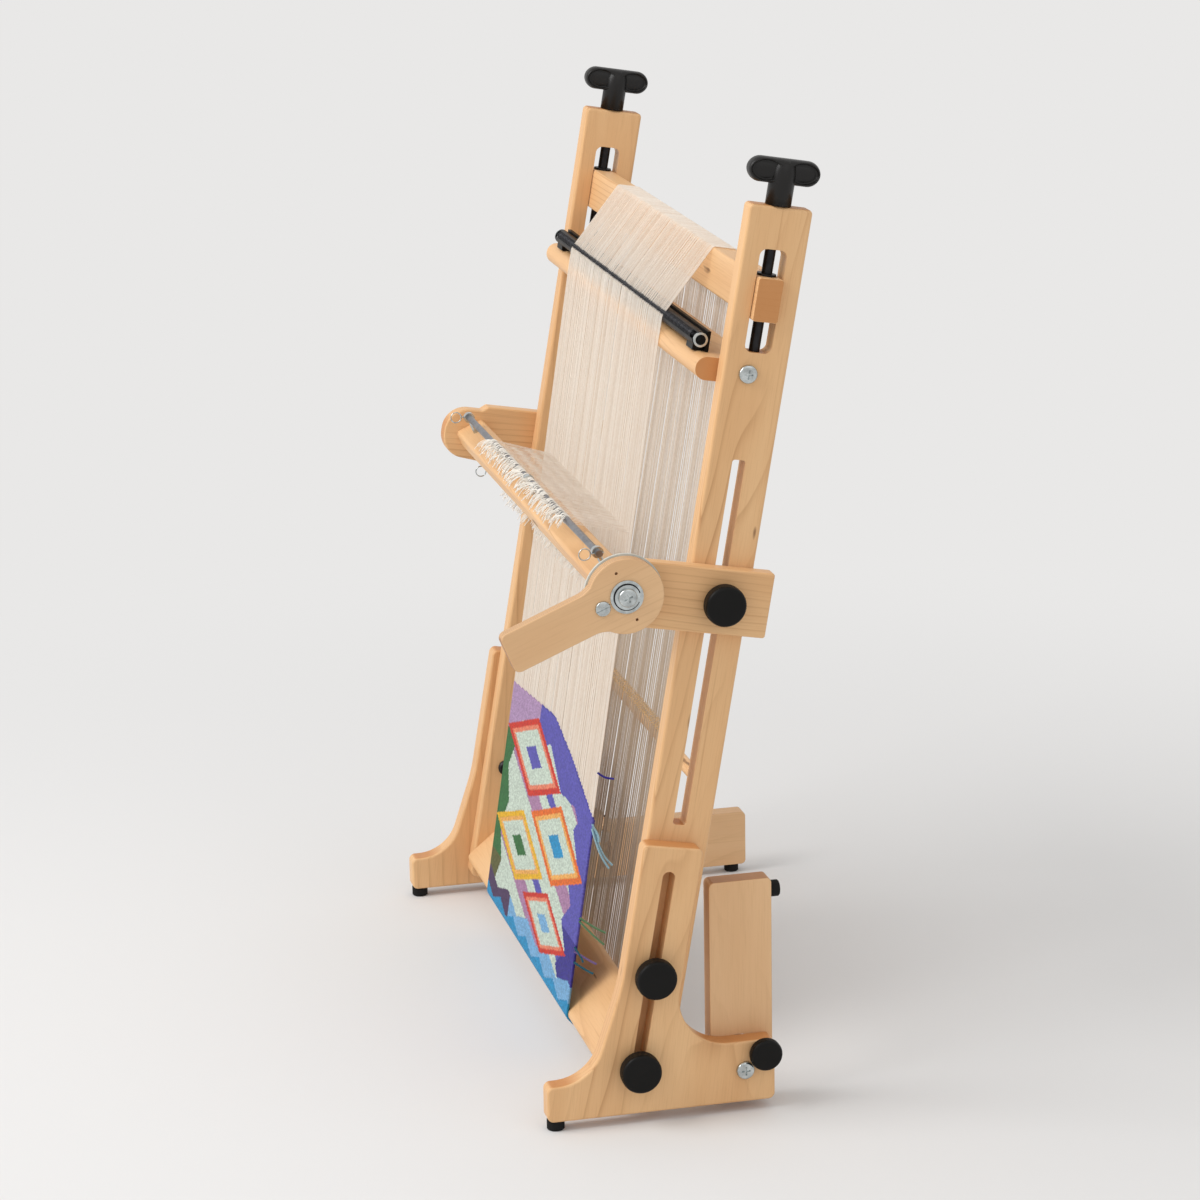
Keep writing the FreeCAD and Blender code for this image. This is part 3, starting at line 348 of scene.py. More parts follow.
mapleGrain = {  # along the grain, square to the board, and where it was cut
    "right_upright": (alongLean, acrossLoom, 3), "left_upright": (alongLean, acrossLoom, 5),
    "right_foot_plate": (plateFoot, acrossLoom, 11), "left_foot_plate": (plateFoot, acrossLoom, 13),
    "right_arm": (backOfLean, acrossLoom, 17), "left_arm": (backOfLean, acrossLoom, 19),
    "front_bar": (acrossLoom, alongLean, 23), "top_beam": (acrossLoom, backOfLean, 29),
    "shed_bar": (acrossLoom, alongLean, 31), "stretcher": (acrossLoom, alongLean, 37),
    "bottom_beam": (acrossLoom, backOfLean, 41),
}
birchGrain = {
    "lever": ((0, 1, 0.4), acrossLoom, 43), "right_leg": ((0, 0, 1), acrossLoom, 47),
    "left_leg": ((0, 1, 0), acrossLoom, 53),
}
plainFinish = {
    "blackPlastic": ["spring_channel", "channel_feet"],
    "zinc": ["leg_pivot_bolts", "leg_lock_nuts", "lever_washer", "arm_bolts", "front_bar_screws",
             "lever_bolt", "far_pivot_bolt", "lever_screw", "bottom_beam_inserts", "channel_end_rings",
             "rod_brackets", "rod_clips"],
    "rodSteel": ["heddle_rods"],
    "springSteel": ["warp_spring"],
    "blackSteel": ["beam_nuts", "upper_clamp_bolts"],
    "whiteNylon": ["nylon_disc"],
    "cotton": ["front_warp", "back_warp", "lower_warp", "beam_warp", "heddles", "tapestry"],
}
sideFinish = {  # one on each side
    "blackPlastic": ["upper_clamp_knob", "lower_clamp_knob", "arm_knob", "leg_lock_knob", "tension_handle"],
    "zinc": ["leg_lock_stud", "lower_clamp_stud"],
    "blackSteel": ["tension_rod"],
    "blackRubber": ["front_foot", "leg_foot"],
}
sides = ("right", "left")


def dress(name, material):
    node = nodes[name]
    node.data.materials.clear()
    node.data.materials.append(material)


def dressSolids():
    for name, wood in mapleGrain.items():
        dress(name, woodMaterial(name + "Wood", "maple", *wood))
    for name, wood in birchGrain.items():
        dress(name, woodMaterial(name + "Ply", "birch", *wood, plies=True))
    for side in ("", *sides):
        for finish, names in (sideFinish if side else plainFinish).items():
            for name in names:
                dress(side + "_" + name if side else name, finishes[finish])
    print("solids dressed")


# Handles: a bar with four thumb hollows on a round stem

handle = {"stem": [(11.3, 0.0), (11.3, 26.0), (10.9, 31.0), (9.6, 36.0), (7.0, 39.0)], "stemSides": 48,
          "stemHeight": 18.2, "height": 11.0, "thick": 10.0, "length": 64.0, "tip": 0.05, "power": 2.6,
          "sections": 64, "points": 64,
          "hollow": {"from": 16.6, "long": 14.4, "tall": 9.6, "deep": 4.4, "rim": 0.34, "share": 0.7}}


def hollowAt(along, up):
    hollow = handle["hollow"]
    reach = ((abs(along) - hollow["from"]) / hollow["long"]) ** 2 + (up / hollow["tall"]) ** 2
    share = min(1.0, max(0.0, (1.0 - reach) / hollow["rim"]))
    return hollow["deep"] * share * share * (3 - 2 * share)


def barSection(along):
    straight = handle["length"] / 2 - handle["height"]
    past = max(0.0, abs(along) - straight) / handle["height"]
    share = math.sqrt(max(0.0, 1 - past * past))
    corners = []
    for index in range(handle["points"]):
        turn = 2 * math.pi * (index + 0.5) / handle["points"]
        cos, sin = math.cos(turn), math.sin(turn)
        out = handle["thick"] * share ** 0.5 * math.copysign(abs(cos) ** (2 / handle["power"]), cos)
        up = handle["height"] * share * math.copysign(abs(sin) ** (2 / handle["power"]), sin)
        out -= math.copysign(min(hollowAt(along, up), abs(out) * handle["hollow"]["share"]), out)
        corners.append((out, up))
    return corners


def skinOf(mesh, rings):  # quads between rings of corners, closed at both ends
    for low, high in zip(rings, rings[1:]):
        for index in range(len(low)):
            after = (index + 1) % len(low)
            mesh.faces.new((low[index], low[after], high[after], high[index])).smooth = True
    mesh.faces.new(rings[0][::-1])
    mesh.faces.new(rings[-1])


def addHandles():
    middle = handle["stemHeight"] + handle["height"]
    turns = [2 * math.pi * index / handle["stemSides"] for index in range(handle["stemSides"])]
    for side in sides:
        foot = jointAt[side + "_tension_turn"]
        mesh = bmesh.new()

        def corner(x, v, u):
            return mesh.verts.new(foot + (Vector((x, 0, 0)) + backOfLean * v + alongLean * u) / 1000)

        bar = []
        for step in range(handle["sections"] + 1):
            along = -math.cos(math.pi * step / handle["sections"]) * (handle["length"] / 2 - handle["tip"])
            bar.append([corner(out, along, middle + up) for out, up in barSection(along)])
        skinOf(mesh, bar)
        skinOf(mesh, [[corner(radius * math.cos(turn), radius * math.sin(turn), up) for turn in turns]
                      for radius, up in handle["stem"]])
        piece = formPiece(side + "Handle", mesh, finishes["handlePlastic"])
        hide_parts(side + "_tension_handle")
        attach(piece, side + "_tension")
    print("handles moulded")


# A dark split wire round the lever's bolt, laid on the washer: painted shade round the rim of the lock ring

paintedLockShade = {"radius": 11.4, "wire": 0.75, "sunk": 1.3, "start": 25, "end": 345, "steps": 64}


def addPaintedLockShade():
    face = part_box("lever_washer")[1][0] * 1000 - paintedLockShade["sunk"]
    centre = pivotPlace["v"] * 1000, pivotPlace["u"] * 1000
    start, steps = paintedLockShade["start"], paintedLockShade["steps"]
    turns = [start + (paintedLockShade["end"] - start) * step / steps for step in range(steps + 1)]
    line = [placeMm(face, *aroundOf(centre, paintedLockShade["radius"], turn)) for turn in turns]
    piece = growPiece("paintedLockShade", strandTree(finishes["blackSteel"]), lineMesh("paintedLockShadeLine", [line]),
                      {"Radius": paintedLockShade["wire"] / 1000})
    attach(piece, "shed")
    print("lock ring set")


# Knurls on the knobs' rims

knurl = {"ribs": 76, "rib": 0.5, "sink": 0.12, "edge": 2.8, "start": 0.4, "sides": 6}
knobBodies = {"upper_clamp": "upper_clamp_knob", "lower_clamp": "lower_clamp_knob", "arm_clamp": "arm_knob",
              "leg_lock": "leg_lock_knob"}


def knurlTree(material):
    tree, given = newTree("knurl", {"Ribs": 2, "Ring": 0.0, "Rib": 0.0, "Length": 0.0})
    ring = resultOf(tree, "GeometryNodeMeshCircle", {0: given["Ribs"], 1: given["Ring"]})
    rib = resultOf(tree, "GeometryNodeMeshCylinder", {0: knurl["sides"], 3: given["Rib"], 4: given["Length"]})
    ribs = resultOf(tree, "GeometryNodeInstanceOnPoints", {0: turnedToX(tree, ring), 2: turnedToX(tree, rib)})
    endTree(tree, ribs, material, smooth=False)
    return tree


def addKnurls():
    tree = knurlTree(finishes["blackPlastic"])
    for side in sides:
        for word, knob in knobBodies.items():
            body = side + "_" + word
            low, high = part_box(side + "_" + knob)
            radius = (high[2] - low[2]) / 2
            near, face = (low[0], high[0]) if side == "right" else (high[0], low[0])
            start = near + (face - near) * knurl["start"]
            end = face - math.copysign(knurl["edge"] / 1000, face)
            sizes = {"Ribs": knurl["ribs"], "Ring": radius - knurl["sink"] / 1000, "Rib": knurl["rib"] / 1000,
                     "Length": abs(end - start)}
            piece = growPiece(body + "Knurl", tree, lineMesh(body + "KnurlLine", []), sizes)
            turn = jointAt[body + "_turn"]
            piece.data.transform(Matrix.Translation(((start + end) / 2, turn.y, turn.z)))
            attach(piece, body)
    print("knobs knurled")


# Warp, spring, cloth and heddles, in millimetres square to the uprights

warp = {"left": -188.0, "spacing": 3.125, "threads": 113, "radius": 0.47, "sides": 7, "slack": 0.3,
        "wander": 0.28, "wanderBehind": 0.75, "widths": (0.82, 1.12), "middle": 28.0,
        "seeds": {"place": 7, "width": 3, "tone": 11}}
levels = {"spring": 705.25, "beamEdge": 769.5, "beamUnder": 736.5, "plankRear": 81.74}
channel = {"centre": (-12.0, 705.25), "lips": (120, 180), "reach": 6.7, "radius": 7.0, "dip": 5.6, "near": 9,
           "steps": 12, "power": 0.7}
beamCorners = {"v": (19.0, 37.0), "u": (736.5, 769.5), "round": 2.5}
barNose = (-8.75, 684.5, 10.25)
plank = {"front": (-7.5, 46.0), "slope": math.radians(49.3), "width": 63.5, "thickness": 19.0,
         "frontEdge": 6.0}


def plankPlace(along, depth):
    v, u = plank["front"]
    cos, sin = math.cos(plank["slope"]), math.sin(plank["slope"])
    return v + along * cos + depth * sin, u + along * sin - depth * cos


def aroundOf(centre, radius, degrees):
    turn = math.radians(degrees)
    return centre[0] + radius * math.cos(turn), centre[1] + radius * math.sin(turn)


def warpSupports():  # the round edges that the warp turns on: v, u and radius
    edges = [(v, u, beamCorners["round"]) for v in beamCorners["v"] for u in beamCorners["u"]]
    reach = channel["reach"]
    edges += [(*aroundOf(channel["centre"], reach, lip), channel["radius"] - reach)
              for lip in channel["lips"]]
    edges.append(barNose)
    rear = plank["thickness"] / 2
    front = plank["frontEdge"]
    edges.append((*plankPlace(plank["width"] - rear, rear), rear))
    edges.append((*plankPlace(front, front), front))
    edges.append((*plankPlace(front, plank["thickness"] - front), front))
    return edges


def turnOf(first, second, third):
    return ((second[0] - first[0]) * (third[1] - first[1]) - (second[1] - first[1]) * (third[0] - first[0]))


def hullOf(points):  # the taut outline round the points
    ordered = sorted(points)
    outline = []
    for run in (ordered, ordered[::-1]):
        chain = []
        for point in run:
            while len(chain) > 1 and turnOf(chain[-2], chain[-1], point) <= 0:
                chain.pop()
            chain.append(point)
        outline += chain[:-1]
    return outline


def warpLoop(offset):
    return hullOf([aroundOf((v, u), radius + offset, degrees)
                   for v, u, radius in warpSupports() for degrees in range(0, 360, 5)])


def addLevel(loop, level, behind):
    for index, (here, ahead) in enumerate(zip(loop, loop[1:] + loop[:1])):
        crosses = min(here[1], ahead[1]) <= level < max(here[1], ahead[1])
        if crosses and (here[0] + ahead[0] > 2 * warp["middle"]) == behind:
            share = (level - here[1]) / (ahead[1] - here[1])
            place = (here[0] + (ahead[0] - here[0]) * share, level)
            return loop[:index + 1] + [place] + loop[index + 1:], place


def stretchOf(loop, start, end):
    first = loop.index(start)
    turned = loop[first:] + loop[:first]
    return turned[:turned.index(end) + 1]


def dippedRun(run):  # down between the spring's curls, where it crosses from lip to lip
    centre = Vector(channel["centre"])
    near = [index for index, place in enumerate(run) if math.dist(place, centre) < channel["near"]]
    wide = max(near[:-1], key=lambda index: math.dist(run[index], run[index + 1]))
    here, ahead = (Vector(run[index]) - centre for index in (wide, wide + 1))
    dips = []
    for step in range(1, channel["steps"]):
        share = step / channel["steps"]
        out = here.lerp(ahead, share)
        deep = (out.length - channel["dip"]) * math.sin(math.pi * share) ** channel["power"]
        dips.append(tuple(centre + out.normalized() * (out.length - deep)))
    return run[:wide + 1] + dips + run[wide + 1:]


def warpRuns():  # lists of (v, u), each from one of the levels to the next
    loop = warpLoop(warp["slack"] + warp["radius"])
    marks = []
    for level, behind in (("spring", False), ("plankRear", True), ("beamUnder", True), ("beamEdge", False)):
        loop, place = addLevel(loop, levels[level], behind)
        marks.append(place)
    names = ("lowerWarp", "backWarp", "beamWarp", "frontWarp")
    ends = zip(names, marks, marks[1:] + marks[:1])
    runs = {name: stretchOf(loop, start, end) for name, start, end in ends}
    runs["frontWarp"] = dippedRun(runs["frontWarp"])
    return runs


def placeMm(x, v, u):
    return loomPlace(x / 1000, v / 1000, u / 1000)


# Geometry Nodes

def newTree(name, sizes):
    tree = bpy.data.node_groups.new(name, "GeometryNodeTree")
    for side in ("INPUT", "OUTPUT"):
        tree.interface.new_socket("Geometry", in_out=side, socket_type="NodeSocketGeometry")
    for label, value in sizes.items():
        kind = "NodeSocketInt" if isinstance(value, int) else "NodeSocketFloat"
        tree.interface.new_socket(label, in_out="INPUT", socket_type=kind)
    return tree, tree.nodes.new("NodeGroupInput").outputs


def endTree(tree, geometry, material, smooth=True):
    realized = resultOf(tree, "GeometryNodeRealizeInstances", {0: geometry})
    shaded = resultOf(tree, "GeometryNodeSetShadeSmooth", {0: realized, 2: smooth})
    coated = resultOf(tree, "GeometryNodeSetMaterial", {0: shaded, 2: material})
    tree.links.new(coated, tree.nodes.new("NodeGroupOutput").inputs[0])


def growPiece(name, tree, source, sizes):  # the plain mesh that a tree makes of a source
    holder = addPiece(name + "Source", source)
    modifier = holder.modifiers.new("grow", "NODES")
    modifier.node_group = tree
    for socket in tree.interface.items_tree:
        if socket.in_out == "INPUT" and socket.name in sizes:
            modifier[socket.identifier] = sizes[socket.name]
    return addPiece(name, plainMesh(holder))


def plainMesh(holder):  # what its modifiers make of it
    graph = bpy.context.evaluated_depsgraph_get()
    mesh = bpy.data.meshes.new_from_object(holder.evaluated_get(graph))
    bpy.data.objects.remove(holder)
    return mesh


def formPiece(name, mesh, material):  # with its faces turned outwards
    bmesh.ops.recalc_face_normals(mesh, faces=mesh.faces)
    data = bpy.data.meshes.new(name)
    mesh.to_mesh(data)
    data.materials.append(material)
    return addPiece(name, data)


def addPiece(name, mesh):
    piece = bpy.data.objects.new(name, mesh)
    scene.collection.objects.link(piece)
    return piece


def lineMesh(name, lines):  # open lines, each a list of places
    mesh = bpy.data.meshes.new(name)
    places, edges = [], []
    for line in lines:
        edges += [(len(places) + step, len(places) + step + 1) for step in range(len(line) - 1)]
        places += line
    mesh.from_pydata(places, edges, [])
    return mesh


def turnedToX(tree, geometry):  # what lay along Z
    return resultOf(tree, "GeometryNodeTransform", {0: geometry, 2: (0, math.pi / 2, 0)})


def curveOf(tree, lines):
    return resultOf(tree, "GeometryNodeMeshToCurve", {0: lines})


def tubeOf(tree, curve, radius, facets):
    ring = resultOf(tree, "GeometryNodeCurvePrimitiveCircle", {0: facets, 4: radius}, mode="RADIUS")
    return resultOf(tree, "GeometryNodeCurveToMesh", {0: curve, 1: ring})


def randomOf(tree, low, high, seed):  # a number, or a place where low and high are places
    first, kind = (2, "FLOAT") if isinstance(low, float) else (0, "FLOAT_VECTOR")
    dice = addNode(tree, "FunctionNodeRandomValue", {first: low, first + 1: high, 8: seed}, data_type=kind)
    return dice.outputs[first // 2]


def threadTree(material):  # copies of one line as threads, side by side, each a little off its place
    seeds = warp["seeds"]
    tree, given = newTree("threads", {"Count": 2, "Start": 0.0, "Spacing": 0.0, "Radius": 0.0, "Wander": 0.0})
    thread = tubeOf(tree, curveOf(tree, given["Geometry"]), given["Radius"], warp["sides"])
    start, step = (resultOf(tree, "ShaderNodeCombineXYZ", {0: given[size]}) for size in ("Start", "Spacing"))
    row = resultOf(tree, "GeometryNodeMeshLine", {0: given["Count"], 2: start, 3: step}, mode="OFFSET")
    aside = randomOf(tree, (-1, -0.4, 0), (1, 0.4, 0), seeds["place"])
    drift = resultOf(tree, "ShaderNodeVectorMath", {0: aside, 3: given["Wander"]}, operation="SCALE")
    moved = resultOf(tree, "GeometryNodeSetPosition", {0: row, 3: drift})
    width = randomOf(tree, *warp["widths"], seeds["width"])
    scale = resultOf(tree, "ShaderNodeCombineXYZ", {0: width, 1: 1.0, 2: 1.0})
    placed = resultOf(tree, "GeometryNodeInstanceOnPoints", {0: moved, 2: thread, 6: scale})
    tone = randomOf(tree, 0.0, 1.0, seeds["tone"])
    toned = resultOf(tree, "GeometryNodeStoreNamedAttribute", {0: placed, 2: "tone", 3: tone},
                     data_type="FLOAT", domain="INSTANCE")
    endTree(tree, toned, material)
    return tree


def blendUp(piece, run):  # bakes its place into its mesh; the places of its ends are worked out and not used
    low, high = sorted((run[0], run[-1]), key=lambda place: place[1])
    placeMm(0, *low)
    placeMm(0, *high)
    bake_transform(piece)


def addWarp():
    # the back warp takes the darker copy of the cotton, which is painted shade
    front, behind = threadTree(finishes["cotton"]), threadTree(finishes["cottonPaintedShade"])
    sizes = {"Count": warp["threads"], "Start": warp["left"] / 1000, "Spacing": warp["spacing"] / 1000,
             "Radius": warp["radius"] / 1000}
    riders = {"lowerWarp": ("frame", "lower_warp"), "backWarp": (None, "back_warp"),
              "beamWarp": ("beam", "beam_warp"), "frontWarp": (None, "front_warp")}
    for name, run in warpRuns().items():
        source = lineMesh(name + "Line", [[placeMm(0, v, u) for v, u in run]])
        tree, wander = (behind, "wanderBehind") if name == "backWarp" else (front, "wander")
        piece = growPiece(name, tree, source, {**sizes, "Wander": warp[wander] / 1000})
        body, node = riders[name]
        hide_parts(node)
        if body:
            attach(piece, body)
        else:
            blendUp(piece, run)
    print("warp wound")


# Header: a few twined rows that space the warp behind

header = {"low": 320.5, "high": 329.5, "rows": 4, "twist": 0.75, "wave": 1.1, "radius": 0.42,
          "plane": (45.17, 81.74, 4.67 / 655)}


def backPlane(u):
    v, low, slope = header["plane"]
    return v - (u - low) * slope


def addHeader():
    step = warp["spacing"] / 2
    count = 2 * warp["threads"]
    lines = []
    for row in range(header["rows"]):
        u = header["low"] + (header["high"] - header["low"]) * row / (header["rows"] - 1)
        lines.append([placeMm(warp["left"] + (index - 0.5) * step,
                              backPlane(u) + header["twist"] * math.cos(math.pi * (index + row)),
                              u + header["wave"] * math.cos(math.pi * (index // 2 + row)))
                      for index in range(count)])
    piece = growPiece("headerBand", strandTree(finishes["goldCotton"]), lineMesh("headerLines", lines),
                      {"Radius": header["radius"] / 1000})
    blendUp(piece, warpRuns()["backWarp"])
    print("header twined")


# Spring

spring = {"length": 509.375, "curls": 163, "radius": 3.2, "wire": 0.62, "offset": 4.4, "groove": 150,
          "front": 153, "steps": 20, "sides": 8}


def springTree(material):
    tree, given = newTree("spring", {"Curls": 2.0, "Radius": 0.0, "Wire": 0.0, "Length": 0.0, "Turn": 0.0})
    radius = given["Radius"]
    coil = resultOf(tree, "GeometryNodeCurveSpiral",
                    {0: spring["steps"], 1: given["Curls"], 2: radius, 3: radius, 4: given["Length"]})
    spin = resultOf(tree, "ShaderNodeCombineXYZ", {2: given["Turn"]})
    turned = resultOf(tree, "GeometryNodeTransform", {0: coil, 2: spin})
    endTree(tree, tubeOf(tree, turnedToX(tree, turned), given["Wire"], spring["sides"]), material)
    return tree


def addSpring():
    pitch = spring["length"] / spring["curls"]
    start = -spring["length"] / 2
    turns = (warp["left"] + warp["spacing"] / 2 - start) / pitch
    sizes = {"Curls": float(spring["curls"]), "Radius": spring["radius"] / 1000,
             "Wire": spring["wire"] / 1000, "Length": spring["length"] / 1000,
             "Turn": math.radians(spring["front"]) - 2 * math.pi * turns}
    piece = growPiece("warpSpring", springTree(finishes["springSteel"]), lineMesh("springLine", []), sizes)
    centre = placeMm(start, *aroundOf(channel["centre"], spring["offset"], spring["groove"]))
    piece.data.transform(Matrix.Translation(centre) @ Matrix.Rotation(-lean, 4, "X"))
    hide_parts("warp_spring")
    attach(piece, "frame")
    print("spring laid")


# Cloth

cloth = {"left": -187.0, "ribs": 113, "rib": 3.133, "row": 1.6, "bottom": 34.0, "depth": 0.35, "over": 0.09,
         "thickness": 2.0, "hem": 6.0, "edge": [(-187, 231), (-15, 247), (70, 229), (167, 201)],
         "shade": (0.62, 0.92), "seed": 19}
yarns = {
    "mint": (212, 226, 210), "mauve": (180, 134, 172), "lilac": (184, 150, 190), "violet": (92, 86, 182),
    "indigo": (52, 42, 144), "sky": (126, 182, 226), "cyan": (26, 150, 204), "red": (216, 48, 24),
    "coral": (244, 138, 104), "orange": (240, 112, 20), "peach": (250, 182, 92), "yellow": (244, 188, 20),
    "green": (44, 112, 50), "olive": (96, 96, 42), "plum": (78, 52, 92), "purple": (128, 108, 172),
    "teal": (30, 104, 128), "grass": (104, 150, 112), "ice": (158, 200, 218),
}
lozenges = [  # middle, half width and height, then the colours from its rim to its heart
    (116, 192, 116, 40, "red", "coral", "violet"),
    (240, 142, 108, 40, "orange", "peach", "cyan"),
    (104, 98, 104, 36, "yellow", "peach", "green"),
    (232, 62, 92, 30, "red", "coral", "sky"),
]
bands = {"outer": 0.84, "inner": 0.72, "heart": 0.3}
fields = {"water": (18, 29, 10), "bank": (33, 43, 12), "top": (24, 58, 18), "right": (318, 22, 26),
          "left": (22, 31, 20)}  # where each begins, and how wide and high its steps are
stripes = {"slant": 0.3, "repeat": 92, "mauve": 26, "thin": (44, 58), "thinFrom": 150}


def clothEdge(x):
    ends = cloth["edge"]
    for (left, low), (right, high) in zip(ends, ends[1:]):
        if x <= right:
            share = max(0.0, (x - left) / (right - left))
            return low + (high - low) * share
    return ends[-1][1]


def edgeOf(name, along, sign=1):
    start, width, rise = fields[name]
    return start + sign * rise * abs(((along / width) % 2) - 1)


def yarnAt(x, height):  # lozenges over stepped and slanting fields, by place from the left edge and the hem
    for centreX, centreY, halfX, halfY, outer, inner, heart in lozenges:
        far = abs(x - centreX) / halfX + abs(height - centreY) / halfY
        if far < 1:
            if far > bands["outer"]:
                return outer
            if far > bands["inner"]:
                return inner
            return heart if far < bands["heart"] else "mint"
    if height < 6:
        return "purple"
    if height < edgeOf("water", x):
        return "cyan"
    if height < edgeOf("bank", x):
        return "sky" if x > 96 else "plum"
    if height > clothEdge(x + cloth["left"]) - edgeOf("top", x):
        return "lilac" if x < 120 else "violet"
    if x > edgeOf("right", height, -1):
        return "indigo" if height < 84 else "violet"
    if x < edgeOf("left", height):
        return "olive" if height < 64 else "green"
    slant = (height + stripes["slant"] * x) % stripes["repeat"]
    if slant < stripes["mauve"]:
        return "mauve"
    low, high = stripes["thin"]
    return "violet" if low < slant < high and x > stripes["thinFrom"] else "mint"


def evenly(line, step):  # points a step apart along a line of (v, u)
    spaced = [line[0]]
    left = step
    for here, ahead in zip(line, line[1:]):
        length = math.dist(here, ahead)
        travelled = left
        while travelled <= length:
            share = travelled / length
            spaced.append(tuple(a + (b - a) * share for a, b in zip(here, ahead)))
            travelled += step
        left = travelled - length
    return spaced


def clothLine():  # the middle of its thickness, from its hem under the plank up, a row apart
    run = warpRuns()["lowerWarp"]
    hem = [v > cloth["hem"] for v, u in run].index(True)
    return evenly(run[hem::-1], cloth["row"])


tails = {  # places (u, v) along each yarn end
    "ice": [[(232, -11), (224, -7), (211, -1), (201, 6), (194, 14)],
            [(228, -11), (219, -7), (207, -1), (198, 5), (191, 11)],
            [(230, -11), (226, -7), (221, -4), (216, -3)]],
    "grass": [[(141, -9), (137, -2), (132, 8), (128, 18)], [(138, -9), (132, -2), (124, 8), (117, 18)]],
    "teal": [[(112, -9), (107, -5), (102, -1), (98, 1)], [(98, -8), (94, -1), (90, 7), (88, 12)]],
    "purple": [[(108, -9), (104, -1), (100, 7), (97, 14)]],
    "indigo": [[(280, -12.6), (278, -9), (276, -4), (275.5, 3.5)]],
}
tailPlace = {"ice": 167.4, "grass": 167.2, "teal": 167.4, "purple": 167.2, "indigo": 164.0, "spread": 1.2,
             "yarn": 1.05}


def paintYarn(mesh, name):
    tone = colour(*yarns[name])
    layer = mesh.color_attributes.new("yarn", "FLOAT_COLOR", "POINT")
    for point in layer.data:
        point.color = tone


def addTails():
    pieces = []
    strands = strandTree(finishes["wool"])
    for name, routes in tails.items():
        lines = []
        for number, route in enumerate(routes):
            x = tailPlace[name] + number * tailPlace["spread"]
            lines.append([placeMm(*place) for place in smoothLine([(x, v, u) for u, v in route])])
        piece = growPiece(name + "Tails", strands, lineMesh(name + "TailLine", lines),
                          {"Radius": tailPlace["yarn"] / 1000})
        paintYarn(piece.data, name)
        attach(piece, "frame")
        pieces.append(piece)
    return pieces


def smoothLine(corners, steps=5):  # a Catmull-Rom line through the corners
    ends = [corners[0]] + corners + [corners[-1]]
    line = []
    for index in range(len(corners) - 1):
        before, start, end, after = (Vector(place) for place in ends[index:index + 4])
        for step in range(steps):
            t = step / steps
            bend = (2 * before - 5 * start + 4 * end - after) * t * t
            line.append(0.5 * (2 * start + (end - before) * t + bend
                               + (3 * start - before - 3 * end + after) * t ** 3))
    return [tuple(place) for place in line] + [corners[-1]]


def addCloth():
    line = clothLine()
    top = cloth["bottom"] + max(height for x, height in cloth["edge"]) + cloth["row"]
    line = [place for place in line if place[1] < top]
    mesh = bmesh.new()
    toneLayer = mesh.loops.layers.float_color.new("yarn")
    shade = random.Random(cloth["seed"])
    columns = 2 * cloth["ribs"] + 1
    grid = []
    for row, (v, u) in enumerate(line):
        ahead = line[min(row + 1, len(line) - 1)]
        behind = line[max(row - 1, 0)]
        along = Vector((0, ahead[0] - behind[0], ahead[1] - behind[1])).normalized()
        outward = Vector((0, -along.z, along.y))
        if outward.y > 0:
            outward = -outward
        corners = []
        for column in range(columns):
            x = cloth["left"] + column * cloth["rib"] / 2
            crest = column % 2
            proud = cloth["depth"] * (0.5 if crest else -0.5)
            if crest:
                proud += cloth["over"] * (-1) ** (row + column // 2)
            corners.append(mesh.verts.new(placeMm(x, v + outward.y * proud, u + outward.z * proud)))
        grid.append(corners)
    for row in range(len(line) - 1):
        height = (line[row][1] + line[row + 1][1]) / 2 - cloth["bottom"]
        for column in range(columns - 1):
            x = cloth["left"] + (column + 0.5) * cloth["rib"] / 2
            rib = cloth["left"] + (column // 2 + 0.5) * cloth["rib"]
            if height > clothEdge(rib):
                continue
            face = mesh.faces.new((grid[row][column], grid[row][column + 1], grid[row + 1][column + 1],
                                   grid[row + 1][column]))
            face.smooth = True
            tone = colour(*yarns[yarnAt(x - cloth["left"], row * cloth["row"])])
            factor = shade.uniform(*cloth["shade"])
            for loop in face.loops:
                loop[toneLayer] = (*(channel * factor for channel in tone[:3]), 1)
    bmesh.ops.delete(mesh, geom=[vert for vert in mesh.verts if not vert.link_faces], context="VERTS")
    holder = formPiece("clothSource", mesh, finishes["wool"])
    skin = holder.modifiers.new("skin", "SOLIDIFY")
    skin.thickness = cloth["thickness"] / 1000
    skin.offset = 0
    piece = addPiece("tapestryCloth", plainMesh(holder))
    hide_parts("tapestry")
    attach(piece, "frame")
    addTails()
    print("cloth woven", len(piece.data.polygons))


# Heddles, their knots and their frayed ends

heddle = {"upperRod": (-76.36, 511.27), "lowerRod": (-47.64, 466.73), "upperEnd": 506.0, "lowerEnd": 463.0,
          "start": -160.0, "spacing": 6.25, "count": 52, "string": 0.3, "spread": 0.7, "wander": 0.6,
          "rod": 3.175, "loop": 0.5, "loops": (-1.6, 0.0, 1.5), "drift": 0.7, "lean": 2.6, "steps": 12,
          "bare": 0.12, "seed": 31}
tuft = {"strand": 0.33, "strands": 6, "length": (6.0, 17.0), "aside": 0.9, "fan": 0.4, "droop": 0.75,
        "rise": (-0.25, 0.5), "bend": 0.9, "sway": 1.4, "steps": 6}


def warpFrontAt(u):
    run = warpRuns()["lowerWarp"]
    for here, ahead in zip(run, run[1:]):
        if here[1] > u >= ahead[1]:
            return here[0] + (ahead[0] - here[0]) * (here[1] - u) / (here[1] - ahead[1])


strandSides = 6


def strandTree(material):
    tree, given = newTree("strands", {"Radius": 0.0})
    endTree(tree, tubeOf(tree, curveOf(tree, given["Geometry"]), given["Radius"], strandSides), material)
    return tree


